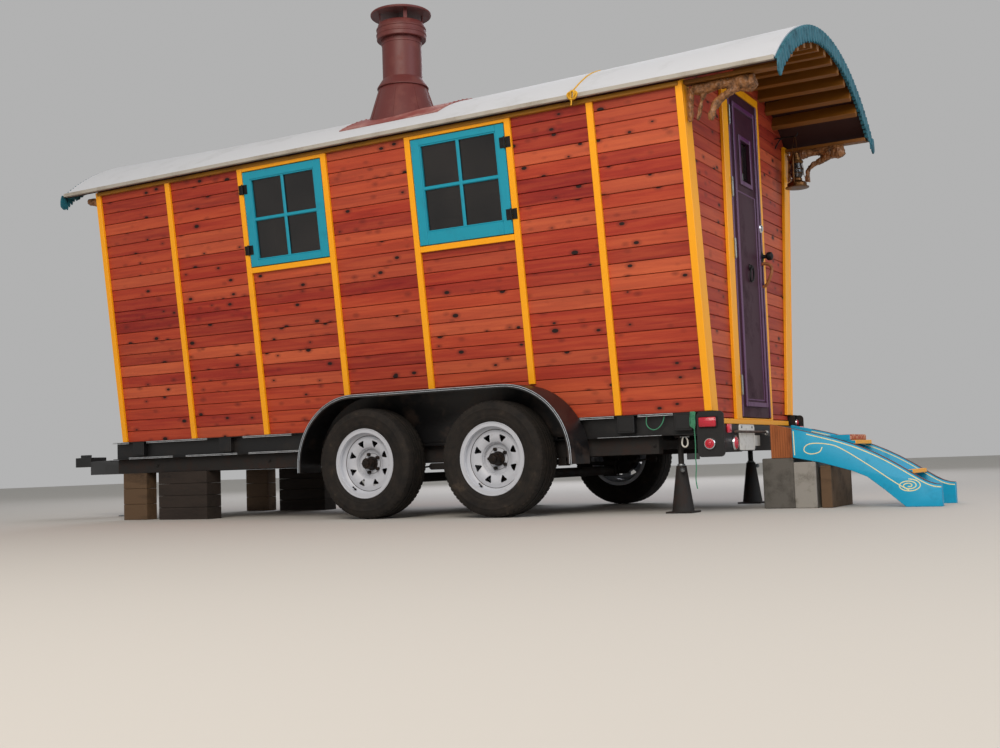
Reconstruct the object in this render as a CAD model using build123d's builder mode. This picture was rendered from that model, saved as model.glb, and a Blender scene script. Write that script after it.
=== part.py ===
from build123d import *
from math import atan, cos, degrees, radians, sin, sqrt, tan
import os

# Vardo wagon: a wooden living wagon with flared sides and a bowed roof, on a tandem-axle trailer.
# Millimetres. +X points forward to the coupler, +Y to the left side, +Z up. The ground is z = 0.
# Places along X are first given from the middle between the two axles, and placed by ahead().
os.makedirs("parts", exist_ok=True)

# Clearances
seat = 0.3             # between a piece and what it rests on
pin_gap = 0.3          # around a pin or a shaft
running = 6.0          # between pieces that move past each other

# Ends of the whole wagon, from the middle between the axles
nose = 3995.0          # tip of the coupler
toe = -2757.0          # front end of the entrance steps
mid_x = -(nose + toe) / 2

# Wheels and axles
axle_gap = 890.0       # between the two axle lines
tyre_radius = 336.0
tyre_width = 205.0
track = 1742.0         # between the middles of the left and right tyres
bead_radius = 190.5    # of a fifteen-inch rim
flange_radius = 207.5
rim_width = 178.0
rim_wall = 5.0
well_radius = 172.0
disc_face = 7.0        # bolting face, outboard of the tyre's middle
disc_thick = 6.0
bolt_circle = 114.3
bolt_count = 5
stud_radius = 6.3
nut_radius = 11.0
spoke_holes = 8
drum_radius = 127.0
drum_depth = 62.0
hub_z = tyre_radius
spindle_radius = 20.0
spindle_reach = 9.0    # its tip, outboard of the tyre's middle
spindle_bore = 3.0     # the hub's bore is this much deeper than the spindle
axle_radius = 30.0
axle_drop = 100.0

# Deck and chassis
deck_top = 550.0
deck_board = 38.0
rail_height = 122.0
rail_plate = 5.0
tyre_room = 23.5       # between the deck rails and the tyres
rail_out = track / 2 - tyre_width / 2 - tyre_room
rail_depth = 45.0
deck_front = 2796.0
deck_rear = -1720.0
beam_height = 98.0     # main rails, below the deck rails
beam_width = 60.0
beam_rear = -1363.0
joist_width = 50.0
joist_pitch = 560.0
joist_count = 8
first_joist = -1450.0

# Living box, outer faces of the boards
wall_thick = 60.0
trim_thick = 20.0
box_front = 2679.0
box_rear = -1673.0
deck_edge = 20.0           # of the deck rail, in front of the boards
half_width_low = rail_out - deck_edge
flare_out = 226.0          # the boards lean out this far up to the eave
half_width_eave = half_width_low + flare_out
eave_z = 2307.0
skirt_drop = 38.0          # the rear boards reach this far below the deck's top

# Roof: bows of one half chord and three rises, higher at both ends
eave_out = 72.0
roof_half = half_width_eave + eave_out
roof_thick = 36.0
roof_rear = -2212.0
roof_low = 700.0
roof_front = 2957.0
rise_rear = 412.0
rise_low = 364.0
rise_front = 400.0

# Battens on the long sides
batten_wide = 39.0
batten_rows = (
    # front edge, stands on the fender
    (2044.0, False),
    (1404.0, False),
    (722.0, True),
    (88.5, True),
    (-601.0, True),
    (-1124.0, False),
)
corner_wide = 40.0
corner_board = 87.0

# Sashes: each fills the space between two battens
sash_gap = 5.0
sash_thick = 35.0
stile_wide = 58.0
muntin_wide = 22.0
muntin_thick = 14.0
muntin_setback = 4.0
pane_thick = 4.0
groove = 8.0
sill_strip = 35.0
window_rows = (
    # name, batten behind, batten ahead, lower edge z, upper edge z, lower rail, upper rail, hinge side
    ("front", 2, 1, 1645.0, 2255.0, 42.0, 50.0, 1),
    ("rear", 4, 3, 1630.0, 2258.0, 76.0, 38.0, -1),
)
gable_wide = 640.0
gable_low = 1640.0
gable_high = 2250.0

# Hinges of sashes and door
hinge_out = 10.0           # pin's middle, ahead of the face
hinge_reach = 34.0
hinge_plate = 3.0
hinge_web = 4.0
knuckle_radius = 6.0
sash_hinge_tall = 60.0
sash_hinge_inset = 110.0
door_hinge_tall = 110.0
door_hinge_rows = (708.0, 1500.0, 1860.0, 2287.0)

# Door in the rear end
door_left = 239.0
door_right = -302.0
door_low = 519.0
door_high = 2452.0
door_thick = 35.0
door_gap = 5.0
door_setback = 3.0
door_post = 92.0
door_strip = 33.0
door_header = 46.0
foot_board = 29.0
foot_inset = 95.0
foot_half = rail_out - foot_inset
door_glass_wide = 166.0
door_glass_low = 1932.0
door_glass_high = 2174.0
moulding_inset = 62.0
moulding_wide = 30.0
moulding_proud = 8.0

# Roof edges and porch timbers
valance_thick = 18.0
valance_band = 76.0        # from the roof's top down to the tabs' middles
valance_edge = 6.0
tab_radius = 16.0
tab_step = 1.5             # degrees along the bow
purlin_wide = 38.0
purlin_deep = 90.0
purlin_step = 6.1          # degrees along the bow
purlins_aside = 5          # on each side of the middle one
plate_wide = 60.0
plate_low = 2286.0
plate_inset = 6.0
plate_out = half_width_eave - plate_inset

# Chimney, on the left slope
chimney_x = 390.0
chimney_y = 500.0
flashing_rear = -77.0
flashing_front = 660.0
flashing_low = 835.0       # half widths of its lower and upper edge
flashing_high = 130.0
flashing_thick = 6.0
pipe_radius = 128.0
pipe_bore = 120.0
cone_foot = 2470.0
cone_low_radius = 245.0
cone_high_radius = 156.0
cone_tall = 272.0
cone_top = cone_foot + cone_tall
flue_floor = cone_top + 18.0
storm_radius = 166.0
storm_tall = 61.0
storm_low = cone_top + 2.0
storm_high = storm_low + storm_tall
pipe_tall = 262.0          # between the storm collar and the band
band_radius = 159.0
band_tall = 106.0
band_low = storm_high + pipe_tall
band_high = band_low + band_tall
cap_radius = 195.0
cap_lift = 56.0
cap_low = band_high + cap_lift
cap_rim = 14.0
cap_crown = 60.0
cap_tall = 61.0
cap_top = cap_low + cap_tall
post_count = 4
post_radius = 7.0

# Fenders
fender_front = 940.0
fender_rear = -965.0
fender_top = 757.0
fender_low = 290.0
fender_corner = 430.0
fender_sheet = 4.0
fender_room = 11.5         # its outer face, beyond the tyre's
fender_out = track / 2 + tyre_width / 2 + fender_room
fender_lip = 24.0
apron_low = 445.0

# Tongue and jack
coupler_length = 240.0
ball_radius = 25.8         # socket for a two-inch ball
ball_back = 45.0           # ball's middle, behind the tip
coupler_low = 395.0
coupler_high = 470.0
tongue_half = 82.5         # half width of its front end
tongue_width = 50.0
tongue_root = 2560.0       # where an arm's outer face meets the main rail
gusset_length = 450.0
gusset_thick = 8.0
jack_x = 3430.0
jack_radius = 29.0
jack_wall = 3.5
jack_low = 250.0
jack_high = 860.0
jack_leg_radius = 25.0
jack_leg_top = 600.0
jack_foot = 75.0
jack_foot_thick = 8.0

# Rear end
beam_end_thick = 40.0
beam_end_low = 330.0
beam_end_high = 475.0
lamp_plate_thick = 8.0
lamp_plate_front = -1608.0
lamp_plate_low = 303.0
grab_bar_radius = 12.0
grab_bar_z = 435.0

# Steps and footings
steps_half = 225.0
stringer_thick = 45.0
landing_rear = -1968.0
landing_front = -1845.0
landing_low = 283.0
landing_high = 475.0
landing_board = 25.0
tread_rows = (
    # nosing, top z, depth, thickness: the upper tread carries a loose board
    (-2310.0, 368.0, 290.0, 20.0),
    (-2280.0, 400.0, 260.0, 31.7),
    (-2606.0, 198.0, 260.0, 20.0),
)


def ahead(distance):
    return mid_x + distance


flare = (half_width_eave - half_width_low) / (eave_z - deck_top)
flare_angle = atan(flare)


def siding_y(z):
    """Half width of the boarded sides at a height."""
    return half_width_low + flare * (z - deck_top)


def slant(z):
    """Length along the flared side from the deck up to a height."""
    return (z - deck_top) / cos(flare_angle)


# The left side's own plane: x forward, y up the slope, z inwards, at the middle between the axles
side_plane = Plane(
    origin=(mid_x, half_width_low, deck_top),
    x_dir=(1, 0, 0),
    z_dir=(0, -cos(flare_angle), sin(flare_angle)),
)


def write(builder, label):
    builder.part.label = label
    export_step(builder.part, f"parts/{label}.step")


def write_pair(builder, label):
    """Write a left piece, and its mirror image as the right piece."""
    write(builder, f"{label}_left")
    with BuildPart() as reflected:
        add(builder.part)
        mirror(about=Plane.XZ, mode=Mode.REPLACE)
    write(reflected, f"{label}_right")


def bow_radius(rise):
    return (roof_half ** 2 + rise ** 2) / (2 * rise)


def bow_middle(rise):
    """Height of a bow's centre."""
    return eave_z + rise - bow_radius(rise)


roof_stations = (
    # place along X, rise of the bow
    (ahead(roof_rear), rise_rear),
    (ahead(roof_low), rise_low),
    (ahead(roof_front), rise_front),
)


def bow_fill(inset):
    """All the space under a bowed face that lies inset below the roof's top."""
    with BuildPart() as fill:
        for place, rise in roof_stations:
            radius = bow_radius(rise) - inset
            reach = roof_half + trim_thick
            low = bow_middle(rise) + sqrt(radius ** 2 - reach ** 2)
            with BuildSketch(Plane.YZ.offset(place)):
                with BuildLine():
                    ThreePointArc((-reach, low), (0, bow_middle(rise) + radius), (reach, low))
                    Polyline((reach, low), (reach, hub_z), (-reach, hub_z), (-reach, low))
                make_face()
        loft()
    return fill


under_roof = bow_fill(roof_thick + seat)
roof_core = bow_fill(-seat)

# Roof shell
with BuildPart() as roof:
    for place, rise in roof_stations:
        radius = bow_radius(rise)
        inner_half = sqrt((radius - roof_thick) ** 2 - (radius - rise) ** 2)
        with BuildSketch(Plane.YZ.offset(place)):
            with BuildLine():
                ThreePointArc((-roof_half, eave_z), (0, eave_z + rise), (roof_half, eave_z))
                Line((roof_half, eave_z), (inner_half, eave_z))
                ThreePointArc((inner_half, eave_z), (0, eave_z + rise - roof_thick), (-inner_half, eave_z))
                Line((-inner_half, eave_z), (-roof_half, eave_z))
            make_face()
    loft()
write(roof, "roof")

# Valances on both ends of the roof, each a bowed board with a row of rounded tabs along its lower edge
with BuildPart() as valances:
    for place, rise, outward in ((roof_rear, rise_rear, -1), (roof_front, rise_front, 1)):
        drop = bow_radius(rise) - rise
        outer = bow_radius(rise) - valance_edge
        inner = bow_radius(rise) - valance_band
        outer_half = sqrt(outer ** 2 - drop ** 2)
        inner_half = sqrt(inner ** 2 - drop ** 2)
        half_angle = degrees(atan(inner_half / drop))
        tabs = int(2 * half_angle / tab_step)
        with BuildSketch(Plane.YZ.offset(ahead(place))):
            with BuildLine():
                ThreePointArc((-outer_half, eave_z), (0, bow_middle(rise) + outer), (outer_half, eave_z))
                Line((outer_half, eave_z), (inner_half, eave_z))
                ThreePointArc((inner_half, eave_z), (0, bow_middle(rise) + inner), (-inner_half, eave_z))
                Line((-inner_half, eave_z), (-outer_half, eave_z))
            make_face()
            for index in range(tabs):
                angle = radians(tab_step * (index - (tabs - 1) / 2))
                with Locations((inner * sin(angle), bow_middle(rise) + inner * cos(angle))):
                    Circle(tab_radius)
        extrude(amount=outward * valance_thick)
write(valances, "valances")

# Purlins and eave plates that carry the roof over the porch
porch_plane = Plane.YZ.offset(ahead(roof_rear) + seat)
porch_length = box_rear - roof_rear - seat
purlin_foot = bow_radius(rise_rear) - roof_thick - purlin_deep / 2
with BuildPart() as purlins:
    with BuildSketch(porch_plane):
        for index in range(-purlins_aside, purlins_aside + 1):
            angle = radians(purlin_step * index)
            spot = (purlin_foot * sin(angle), bow_middle(rise_rear) + purlin_foot * cos(angle))
            with Locations(spot):
                Rectangle(purlin_wide, purlin_deep, rotation=-purlin_step * index)
    extrude(amount=porch_length)
    with BuildSketch(porch_plane):
        for side in (-1, 1):
            with Locations((side * (plate_out - plate_wide / 2), (plate_low + eave_z) / 2)):
                Rectangle(plate_wide, eave_z - plate_low)
    extrude(amount=porch_length - trim_thick)
    add(under_roof.part, mode=Mode.INTERSECT)
write(purlins, "purlins")

# Long walls in panels between the battens, with their window openings
panel_joints = [front - batten_wide / 2 for front, on_fender in batten_rows]
wall_tall = slant(eave_z + wall_thick)
with BuildPart() as wall:
    with BuildSketch(Plane.YZ.offset(ahead(box_rear) + wall_thick)):
        with BuildLine():
            high = eave_z + wall_thick
            Polyline(
                (siding_y(deck_top), deck_top),
                (siding_y(high), high),
                (siding_y(high) - wall_thick, high),
                (siding_y(deck_top) - wall_thick, deck_top),
                close=True,
            )
        make_face()
    extrude(amount=box_front - box_rear - 2 * wall_thick)
    add(under_roof.part, mode=Mode.INTERSECT)
    for name, behind, before, low, high, rail_low, rail_high, hinge in window_rows:
        start = batten_rows[behind][0]
        stop = batten_rows[before][0] - batten_wide
        with BuildSketch(side_plane):
            with Locations(((start + stop) / 2, (slant(low) + slant(high)) / 2)):
                Rectangle(stop - start, slant(high) - slant(low) + 2 * sash_gap)
        extrude(amount=2 * wall_thick, both=True, mode=Mode.SUBTRACT)
        panel_joints.remove(batten_rows[behind][0] - batten_wide / 2)
        panel_joints.remove(batten_rows[before][0] - batten_wide / 2)
        panel_joints += [start - seat / 2, stop + seat / 2]
    with BuildSketch(side_plane):
        for joint in panel_joints:
            with Locations((joint, wall_tall / 2)):
                Rectangle(seat, wall_tall + wall_thick)
    extrude(amount=2 * wall_thick, both=True, mode=Mode.SUBTRACT)
write_pair(wall, "wall")


def end_wall(start):
    """A plain end wall, whose rear face lies at start."""
    with BuildPart() as end:
        with BuildSketch(Plane.YZ.offset(start)):
            with BuildLine():
                Polyline(
                    (-siding_y(deck_top), deck_top),
                    (siding_y(deck_top), deck_top),
                    (siding_y(eave_z), eave_z),
                    (siding_y(eave_z), eave_z + rise_rear),
                    (-siding_y(eave_z), eave_z + rise_rear),
                    (-siding_y(eave_z), eave_z),
                    close=True,
                )
            make_face()
        extrude(amount=wall_thick)
        add(under_roof.part, mode=Mode.INTERSECT)
    return end


# Rear end wall in three panels: the boards hang over the deck's end, and the door opening is cut
rear_plane = Plane.YZ.offset(ahead(box_rear))
rear_plain = end_wall(ahead(box_rear))
with BuildPart() as wall_rear:
    add(rear_plain.part)
    with BuildSketch(rear_plane):
        with Locations((0, deck_top - skirt_drop / 2)):
            Rectangle(2 * (rail_out - rail_depth - seat), skirt_drop)
    extrude(amount=trim_thick)
    with BuildSketch(rear_plane):
        with Locations(((door_left + door_right) / 2, (door_low + door_high) / 2)):
            Rectangle(door_left - door_right, door_high - door_low)
        for edge in (door_left, door_right):
            with Locations((edge, eave_z)):
                Rectangle(seat, 2 * eave_z)
    extrude(amount=wall_thick, mode=Mode.SUBTRACT)
write(wall_rear, "wall_rear")

# Front end wall in four panels around its window opening
front_plane = Plane.YZ.offset(ahead(box_front))
front_plain = end_wall(ahead(box_front) - wall_thick)
gable_mid = (gable_low + gable_high) / 2
gable_tall = gable_high - gable_low
with BuildPart() as wall_front:
    add(front_plain.part)
    with BuildSketch(front_plane):
        with Locations((0, gable_mid)):
            Rectangle(gable_wide + 2 * sash_gap, gable_tall + 2 * sash_gap)
        for edge in (gable_low - sash_gap, gable_high + sash_gap):
            with Locations((0, edge)):
                Rectangle(2 * half_width_eave, seat)
    extrude(amount=-wall_thick, mode=Mode.SUBTRACT)
write(wall_front, "wall_front")

# Painted trim on the long sides: corner boards, battens, and strips over and under the windows
trim_foot = trim_thick * tan(flare_angle) + seat
fender_foot = slant(fender_top) + trim_foot
side_top = slant(eave_z - seat)
uprights = [
    # front edge, width, lower end
    (box_front + trim_thick, corner_wide, trim_foot),
    (box_rear - trim_thick + corner_wide, corner_wide, trim_foot),
]
for edge, on_fender in batten_rows:
    uprights.append((edge, batten_wide, fender_foot if on_fender else trim_foot))
with BuildPart() as side_trim:
    with BuildSketch(side_plane):
        for edge, wide, foot in uprights:
            with Locations((edge - wide / 2, (foot + side_top) / 2)):
                Rectangle(wide, side_top - foot)
        for name, behind, before, low, high, rail_low, rail_high, hinge in window_rows:
            start = batten_rows[behind][0]
            stop = batten_rows[before][0] - batten_wide
            strips = (
                (slant(low) - sash_gap - sill_strip, slant(low) - sash_gap),
                (slant(high) + sash_gap, side_top),
            )
            for foot, head in strips:
                with Locations(((start + stop) / 2, (foot + head) / 2)):
                    Rectangle(stop - start - 2 * seat, head - foot)
    extrude(amount=-trim_thick)
    mirror(about=Plane.XZ)
write(side_trim, "side_trim")

# Painted trim on the ends: corner boards, door surround, foot board and the front window's surround
corner_foot = deck_top + seat
corner_head = eave_z + trim_thick
surround = sill_strip + sash_gap
with BuildPart() as end_trim:
    for start in (ahead(box_rear) - trim_thick, ahead(box_front)):
        with BuildSketch(Plane.YZ.offset(start)):
            for side in (-1, 1):
                with BuildLine():
                    Polyline(
                        (side * siding_y(corner_foot), corner_foot),
                        (side * siding_y(corner_head), corner_head),
                        (side * (siding_y(corner_head) - corner_board), corner_head),
                        (side * (siding_y(corner_foot) - corner_board), corner_foot),
                        close=True,
                    )
                make_face()
        extrude(amount=trim_thick)
    with BuildSketch(Plane.YZ.offset(ahead(box_rear) - trim_thick)):
        with BuildLine():
            surround_foot = deck_top - skirt_drop - foot_board
            Polyline(
                (foot_half, surround_foot),
                (foot_half, surround_foot + foot_board),
                (door_left + door_post, surround_foot + foot_board),
                (door_left + door_post, door_high + door_header),
                (door_right - door_strip, door_high + door_header),
                (door_right - door_strip, surround_foot + foot_board),
                (-foot_half, surround_foot + foot_board),
                (-foot_half, surround_foot),
                close=True,
            )
        make_face()
        with Locations(((door_left + door_right) / 2, (door_low + door_high) / 2)):
            Rectangle(door_left - door_right, door_high - door_low, mode=Mode.SUBTRACT)
        for height in (surround_foot + foot_board, door_high):
            with Locations((0, height)):
                Rectangle(2 * foot_half, seat, mode=Mode.SUBTRACT)
        for edge in (door_left, door_right):
            with Locations((edge, door_low)):
                Rectangle(seat, 2 * (door_low - surround_foot - foot_board), mode=Mode.SUBTRACT)
    extrude(amount=trim_thick)
    with BuildSketch(front_plane):
        with Locations((0, gable_mid)):
            Rectangle(gable_wide + 2 * surround, gable_tall + 2 * surround)
            Rectangle(gable_wide + 2 * sash_gap, gable_tall + 2 * sash_gap, mode=Mode.SUBTRACT)
        for edge in (gable_low - sash_gap, gable_high + sash_gap):
            with Locations((0, edge)):
                Rectangle(gable_wide + 2 * surround, seat, mode=Mode.SUBTRACT)
    extrude(amount=trim_thick)
    add(under_roof.part, mode=Mode.INTERSECT)
write(end_trim, "end_trim")


def make_sash(face, wide, tall, rail_down, rail_up, hinge):
    """A four-light sash on a plane at its outer face, and its hinges on the side -1 or 1."""
    glass_wide = wide - 2 * stile_wide
    glass_tall = tall - rail_down - rail_up
    glass_y = (rail_down - rail_up) / 2
    edge = hinge * (wide / 2 + sash_gap / 2)
    with BuildPart(face) as sash:
        with BuildSketch(face):
            Rectangle(wide, tall)
            with Locations((0, glass_y)):
                Rectangle(glass_wide, glass_tall, mode=Mode.SUBTRACT)
        extrude(amount=-sash_thick)
        with BuildSketch(face.offset(-muntin_setback)):
            with Locations((0, glass_y)):
                Rectangle(glass_wide, muntin_wide)
                Rectangle(muntin_wide, glass_tall)
        extrude(amount=-muntin_thick)
        with BuildSketch(face.offset(-muntin_setback - muntin_thick)):
            with Locations((0, glass_y)):
                Rectangle(glass_wide + 2 * groove, glass_tall + 2 * groove)
        extrude(amount=-pane_thick, mode=Mode.SUBTRACT)
        for up in (-1, 1):
            height = up * (tall / 2 - sash_hinge_inset)
            with BuildSketch(face):
                with Locations((edge - hinge * hinge_reach / 2, height)):
                    Rectangle(hinge_reach, sash_hinge_tall)
            extrude(amount=hinge_plate)
            with BuildSketch(face):
                with Locations((edge, height)):
                    Rectangle(hinge_web, sash_hinge_tall)
            extrude(amount=hinge_out)
            with Locations(Location((edge, height, hinge_out), (90, 0, 0))):
                Cylinder(knuckle_radius, sash_hinge_tall)
    return sash


def make_pane(face, wide, tall, rail_down, rail_up):
    """The glass of a sash, held in the groove of its frame."""
    with BuildPart(face) as pane:
        with BuildSketch(face.offset(-muntin_setback - muntin_thick)):
            with Locations((0, (rail_down - rail_up) / 2)):
                Rectangle(
                    wide - 2 * stile_wide + 2 * (groove - seat),
                    tall - rail_down - rail_up + 2 * (groove - seat),
                )
        extrude(amount=-pane_thick)
    return pane


for name, behind, before, low, high, rail_low, rail_high, hinge in window_rows:
    start = batten_rows[behind][0] + sash_gap
    stop = batten_rows[before][0] - batten_wide - sash_gap
    tall = slant(high) - slant(low)
    middle = (low + high) / 2
    # In this plane x runs forward, y down the slope and z outwards
    sash_face = Plane(
        origin=(ahead((start + stop) / 2), siding_y(middle), middle),
        x_dir=(1, 0, 0),
        z_dir=(0, cos(flare_angle), -sin(flare_angle)),
    ).offset(trim_thick)
    write_pair(make_sash(sash_face, stop - start, tall, rail_high, rail_low, hinge), f"sash_{name}")
    write_pair(make_pane(sash_face, stop - start, tall, rail_high, rail_low), f"pane_{name}")

gable_face = Plane(
    origin=(ahead(box_front) + trim_thick, 0, gable_mid),
    x_dir=(0, 1, 0),
    z_dir=(1, 0, 0),
)
write(make_sash(gable_face, gable_wide, gable_tall, stile_wide, stile_wide, 1), "sash_gable")
write(make_pane(gable_face, gable_wide, gable_tall, stile_wide, stile_wide), "pane_gable")

# Door leaf with its raised moulding and its small window
door_mid = (door_left + door_right) / 2
leaf_wide = door_left - door_right - 2 * door_gap
leaf_tall = door_high - door_low - 2 * door_gap
leaf_mid = (door_high + door_low) / 2
glass_mid = (door_glass_low + door_glass_high) / 2
glass_tall = door_glass_high - door_glass_low
leaf_plane = rear_plane.offset(door_setback - trim_thick)
frame_wide = leaf_wide - 2 * moulding_inset
frame_tall = leaf_tall - 2 * moulding_inset
with BuildPart() as door_leaf:
    with BuildSketch(leaf_plane):
        with Locations((door_mid, leaf_mid)):
            Rectangle(leaf_wide, leaf_tall)
    extrude(amount=door_thick)
    with BuildSketch(leaf_plane):
        with Locations((door_mid, leaf_mid)):
            Rectangle(frame_wide, frame_tall)
            Rectangle(frame_wide - 2 * moulding_wide, frame_tall - 2 * moulding_wide, mode=Mode.SUBTRACT)
        with Locations((door_mid, glass_mid)):
            Rectangle(door_glass_wide + 2 * moulding_wide, glass_tall + 2 * moulding_wide)
    extrude(amount=-moulding_proud)
    with BuildSketch(leaf_plane.offset(-moulding_proud)):
        with Locations((door_mid, glass_mid)):
            Rectangle(door_glass_wide, glass_tall)
    extrude(amount=door_thick + moulding_proud, mode=Mode.SUBTRACT)
    with BuildSketch(leaf_plane.offset((door_thick - pane_thick) / 2)):
        with Locations((door_mid, glass_mid)):
            Rectangle(door_glass_wide + 2 * groove, glass_tall + 2 * groove)
    extrude(amount=pane_thick, mode=Mode.SUBTRACT)
write(door_leaf, "door_leaf")

with BuildPart() as door_pane:
    with BuildSketch(leaf_plane.offset((door_thick - pane_thick) / 2)):
        with Locations((door_mid, glass_mid)):
            Rectangle(door_glass_wide + 2 * (groove - seat), glass_tall + 2 * (groove - seat))
    extrude(amount=pane_thick)
write(door_pane, "door_pane")

# Door furniture: four hinges, bolt lock, knob, knocker and a bent-wood pull
lock_edge = 30.0
lock_y = door_right + door_gap + lock_edge
hinge_y = door_left - door_gap / 2
bolt_z = 1688.0
knob_z = 1512.0
knocker_z = 1384.0
knocker_tall = 96.0
knocker_wide = 40.0
knocker_deep = 16.0
rose_radius = 29.0
rose_deep = 12.0
knob_radius = 27.0
knob_reach = 46.0
knob_neck = 12.0
pull_radius = 10.0
pull_reach = 62.0
pull_low = 1352.0
pull_high = 1460.0
pull_bend = 36.0
with BuildPart() as door_fittings:
    for height in door_hinge_rows:
        with BuildSketch(leaf_plane):
            with Locations((hinge_y - hinge_reach / 2, height)):
                Rectangle(hinge_reach, door_hinge_tall)
        extrude(amount=-hinge_plate)
        with BuildSketch(leaf_plane):
            with Locations((hinge_y, height)):
                Rectangle(hinge_web, door_hinge_tall)
        extrude(amount=-hinge_out)
        with Locations((leaf_plane.origin.X - hinge_out, hinge_y, height)):
            Cylinder(knuckle_radius, door_hinge_tall)
    with BuildSketch(leaf_plane):
        with Locations((lock_y, bolt_z), (lock_y, knob_z)):
            Circle(rose_radius)
    extrude(amount=-rose_deep)
    with BuildSketch(leaf_plane):
        with Locations((lock_y, knob_z)):
            Circle(knob_neck)
    extrude(amount=-knob_reach)
    with Locations((leaf_plane.origin.X - knob_reach, lock_y, knob_z)):
        Sphere(knob_radius)
    with BuildSketch(leaf_plane):
        with Locations((door_mid, knocker_z)):
            SlotOverall(knocker_tall, knocker_wide, rotation=90)
    extrude(amount=-knocker_deep)
    with BuildLine() as pull_line:
        FilletPolyline(
            (leaf_plane.origin.X, lock_y, pull_high),
            (leaf_plane.origin.X - pull_reach, lock_y, pull_high),
            (leaf_plane.origin.X - pull_reach, lock_y, pull_low),
            (leaf_plane.origin.X, lock_y, pull_low),
            radius=pull_bend,
        )
    with BuildSketch(Plane(origin=pull_line.line @ 0, z_dir=pull_line.line % 0)):
        Circle(pull_radius)
    sweep(path=pull_line.line)
write(door_fittings, "door_fittings")

# Chimney: flashing, cone, pipe, storm collar and upper band, then the cap on its posts
low_radius = bow_radius(rise_low)
chimney_axis = Axis((ahead(chimney_x), chimney_y, 0), (0, 0, 1))
chimney_profile = (
    # radius, height
    (0, cone_foot),
    (cone_low_radius, cone_foot),
    (cone_high_radius, cone_top),
    (pipe_radius, cone_top),
    (pipe_radius, storm_high - 2 * flashing_thick),
    (storm_radius - flashing_thick, storm_low),
    (storm_radius, storm_low),
    (pipe_radius, storm_high),
    (pipe_radius, band_low),
    (band_radius, band_low),
    (band_radius, band_high),
    (0, band_high),
)
with BuildPart() as chimney_pipe:
    with BuildSketch(Plane.YZ.offset(ahead(flashing_rear))):
        with Locations((0, bow_middle(rise_low))):
            Circle(low_radius + flashing_thick)
        with Locations(((flashing_low + flashing_high) / 2, bow_middle(rise_low) + low_radius)):
            Rectangle(flashing_low - flashing_high, low_radius, mode=Mode.INTERSECT)
    extrude(amount=flashing_front - flashing_rear)
    with BuildSketch(Plane.XZ.offset(-chimney_y)):
        with BuildLine():
            Polyline(*[(ahead(chimney_x) + reach, height) for reach, height in chimney_profile], close=True)
        make_face()
    revolve(axis=chimney_axis)
    add(roof_core.part, mode=Mode.SUBTRACT)
    with BuildSketch(Plane.XY.offset(flue_floor)):
        with Locations((ahead(chimney_x), chimney_y)):
            Circle(pipe_bore)
    extrude(amount=band_high - flue_floor, mode=Mode.SUBTRACT)
write(chimney_pipe, "chimney_pipe")

cap_profile = (
    # radius, height
    (0, cap_low),
    (cap_radius, cap_low),
    (cap_radius, cap_low + cap_rim),
    (cap_crown, cap_top),
    (0, cap_top),
)
with BuildPart() as chimney_cap:
    with BuildSketch(Plane.XZ.offset(-chimney_y)):
        with BuildLine():
            Polyline(*[(ahead(chimney_x) + reach, height) for reach, height in cap_profile], close=True)
        make_face()
    revolve(axis=chimney_axis)
    with BuildSketch(Plane.XY.offset(band_high + seat)):
        with Locations((ahead(chimney_x), chimney_y)):
            with PolarLocations((band_radius + pipe_bore) / 2, post_count, start_angle=45):
                Circle(post_radius)
    extrude(amount=cap_lift - 2 * seat)
write(chimney_cap, "chimney_cap")

# Root brackets: a knotty root under each end of the eave plates, as tapered limbs from joint to joint
root_inset = 51.0
root_out = half_width_eave - root_inset
root_top = plate_low - seat
rear_root = (
    # per limb: place along X, inwards from the root's middle plane, below the plate, radius
    ((-1726.0, 0.0, 20.0, 24.0), (-1800.0, 4.0, 28.0, 32.0), (-1880.0, -4.0, 22.0, 25.0),
     (-1955.0, 0.0, 30.0, 34.0), (-2020.0, 4.0, 42.0, 46.0), (-2075.0, 0.0, 32.0, 34.0)),
    ((-1720.0, 2.0, 20.0, 22.0), (-1717.0, -6.0, 90.0, 17.0),
     (-1714.0, 0.0, 150.0, 16.0), (-1710.0, 4.0, 196.0, 12.0)),
    ((-1792.0, 4.0, 26.0, 20.0), (-1776.0, 10.0, 80.0, 15.0),
     (-1762.0, 6.0, 140.0, 14.0), (-1746.0, 2.0, 198.0, 10.0)),
    ((-1826.0, -4.0, 212.0, 14.0), (-1832.0, 0.0, 160.0, 19.0), (-1862.0, 4.0, 112.0, 20.0),
     (-1912.0, 0.0, 86.0, 22.0), (-1968.0, 0.0, 58.0, 28.0), (-2012.0, 2.0, 44.0, 30.0)),
)
front_root = (
    ((2716.8, 0.0, 150.0, 16.0), (2726.8, 4.0, 80.0, 20.0),
     (2752.8, 0.0, 34.0, 28.0), (2832.8, 0.0, 18.0, 20.0)),
)
with BuildPart() as roots:
    for side in (-1, 1):
        for limb in rear_root + front_root:
            joints = []
            for place, inwards, below, radius in limb:
                joints.append((Vector(ahead(place), side * (root_out - inwards), root_top - below), radius))
            last = len(joints) - 1
            for index, (joint, radius) in enumerate(joints):
                heading = joints[min(index + 1, last)][0] - joints[max(index - 1, 0)][0]
                with BuildSketch(Plane(origin=joint, x_dir=(0, 1, 0), z_dir=heading)):
                    Circle(radius)
            loft()
    # The top is planed flat where it meets the eave plate
    split(bisect_by=Plane.XY.offset(root_top), keep=Keep.BOTTOM)
write(roots, "roots")

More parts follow.
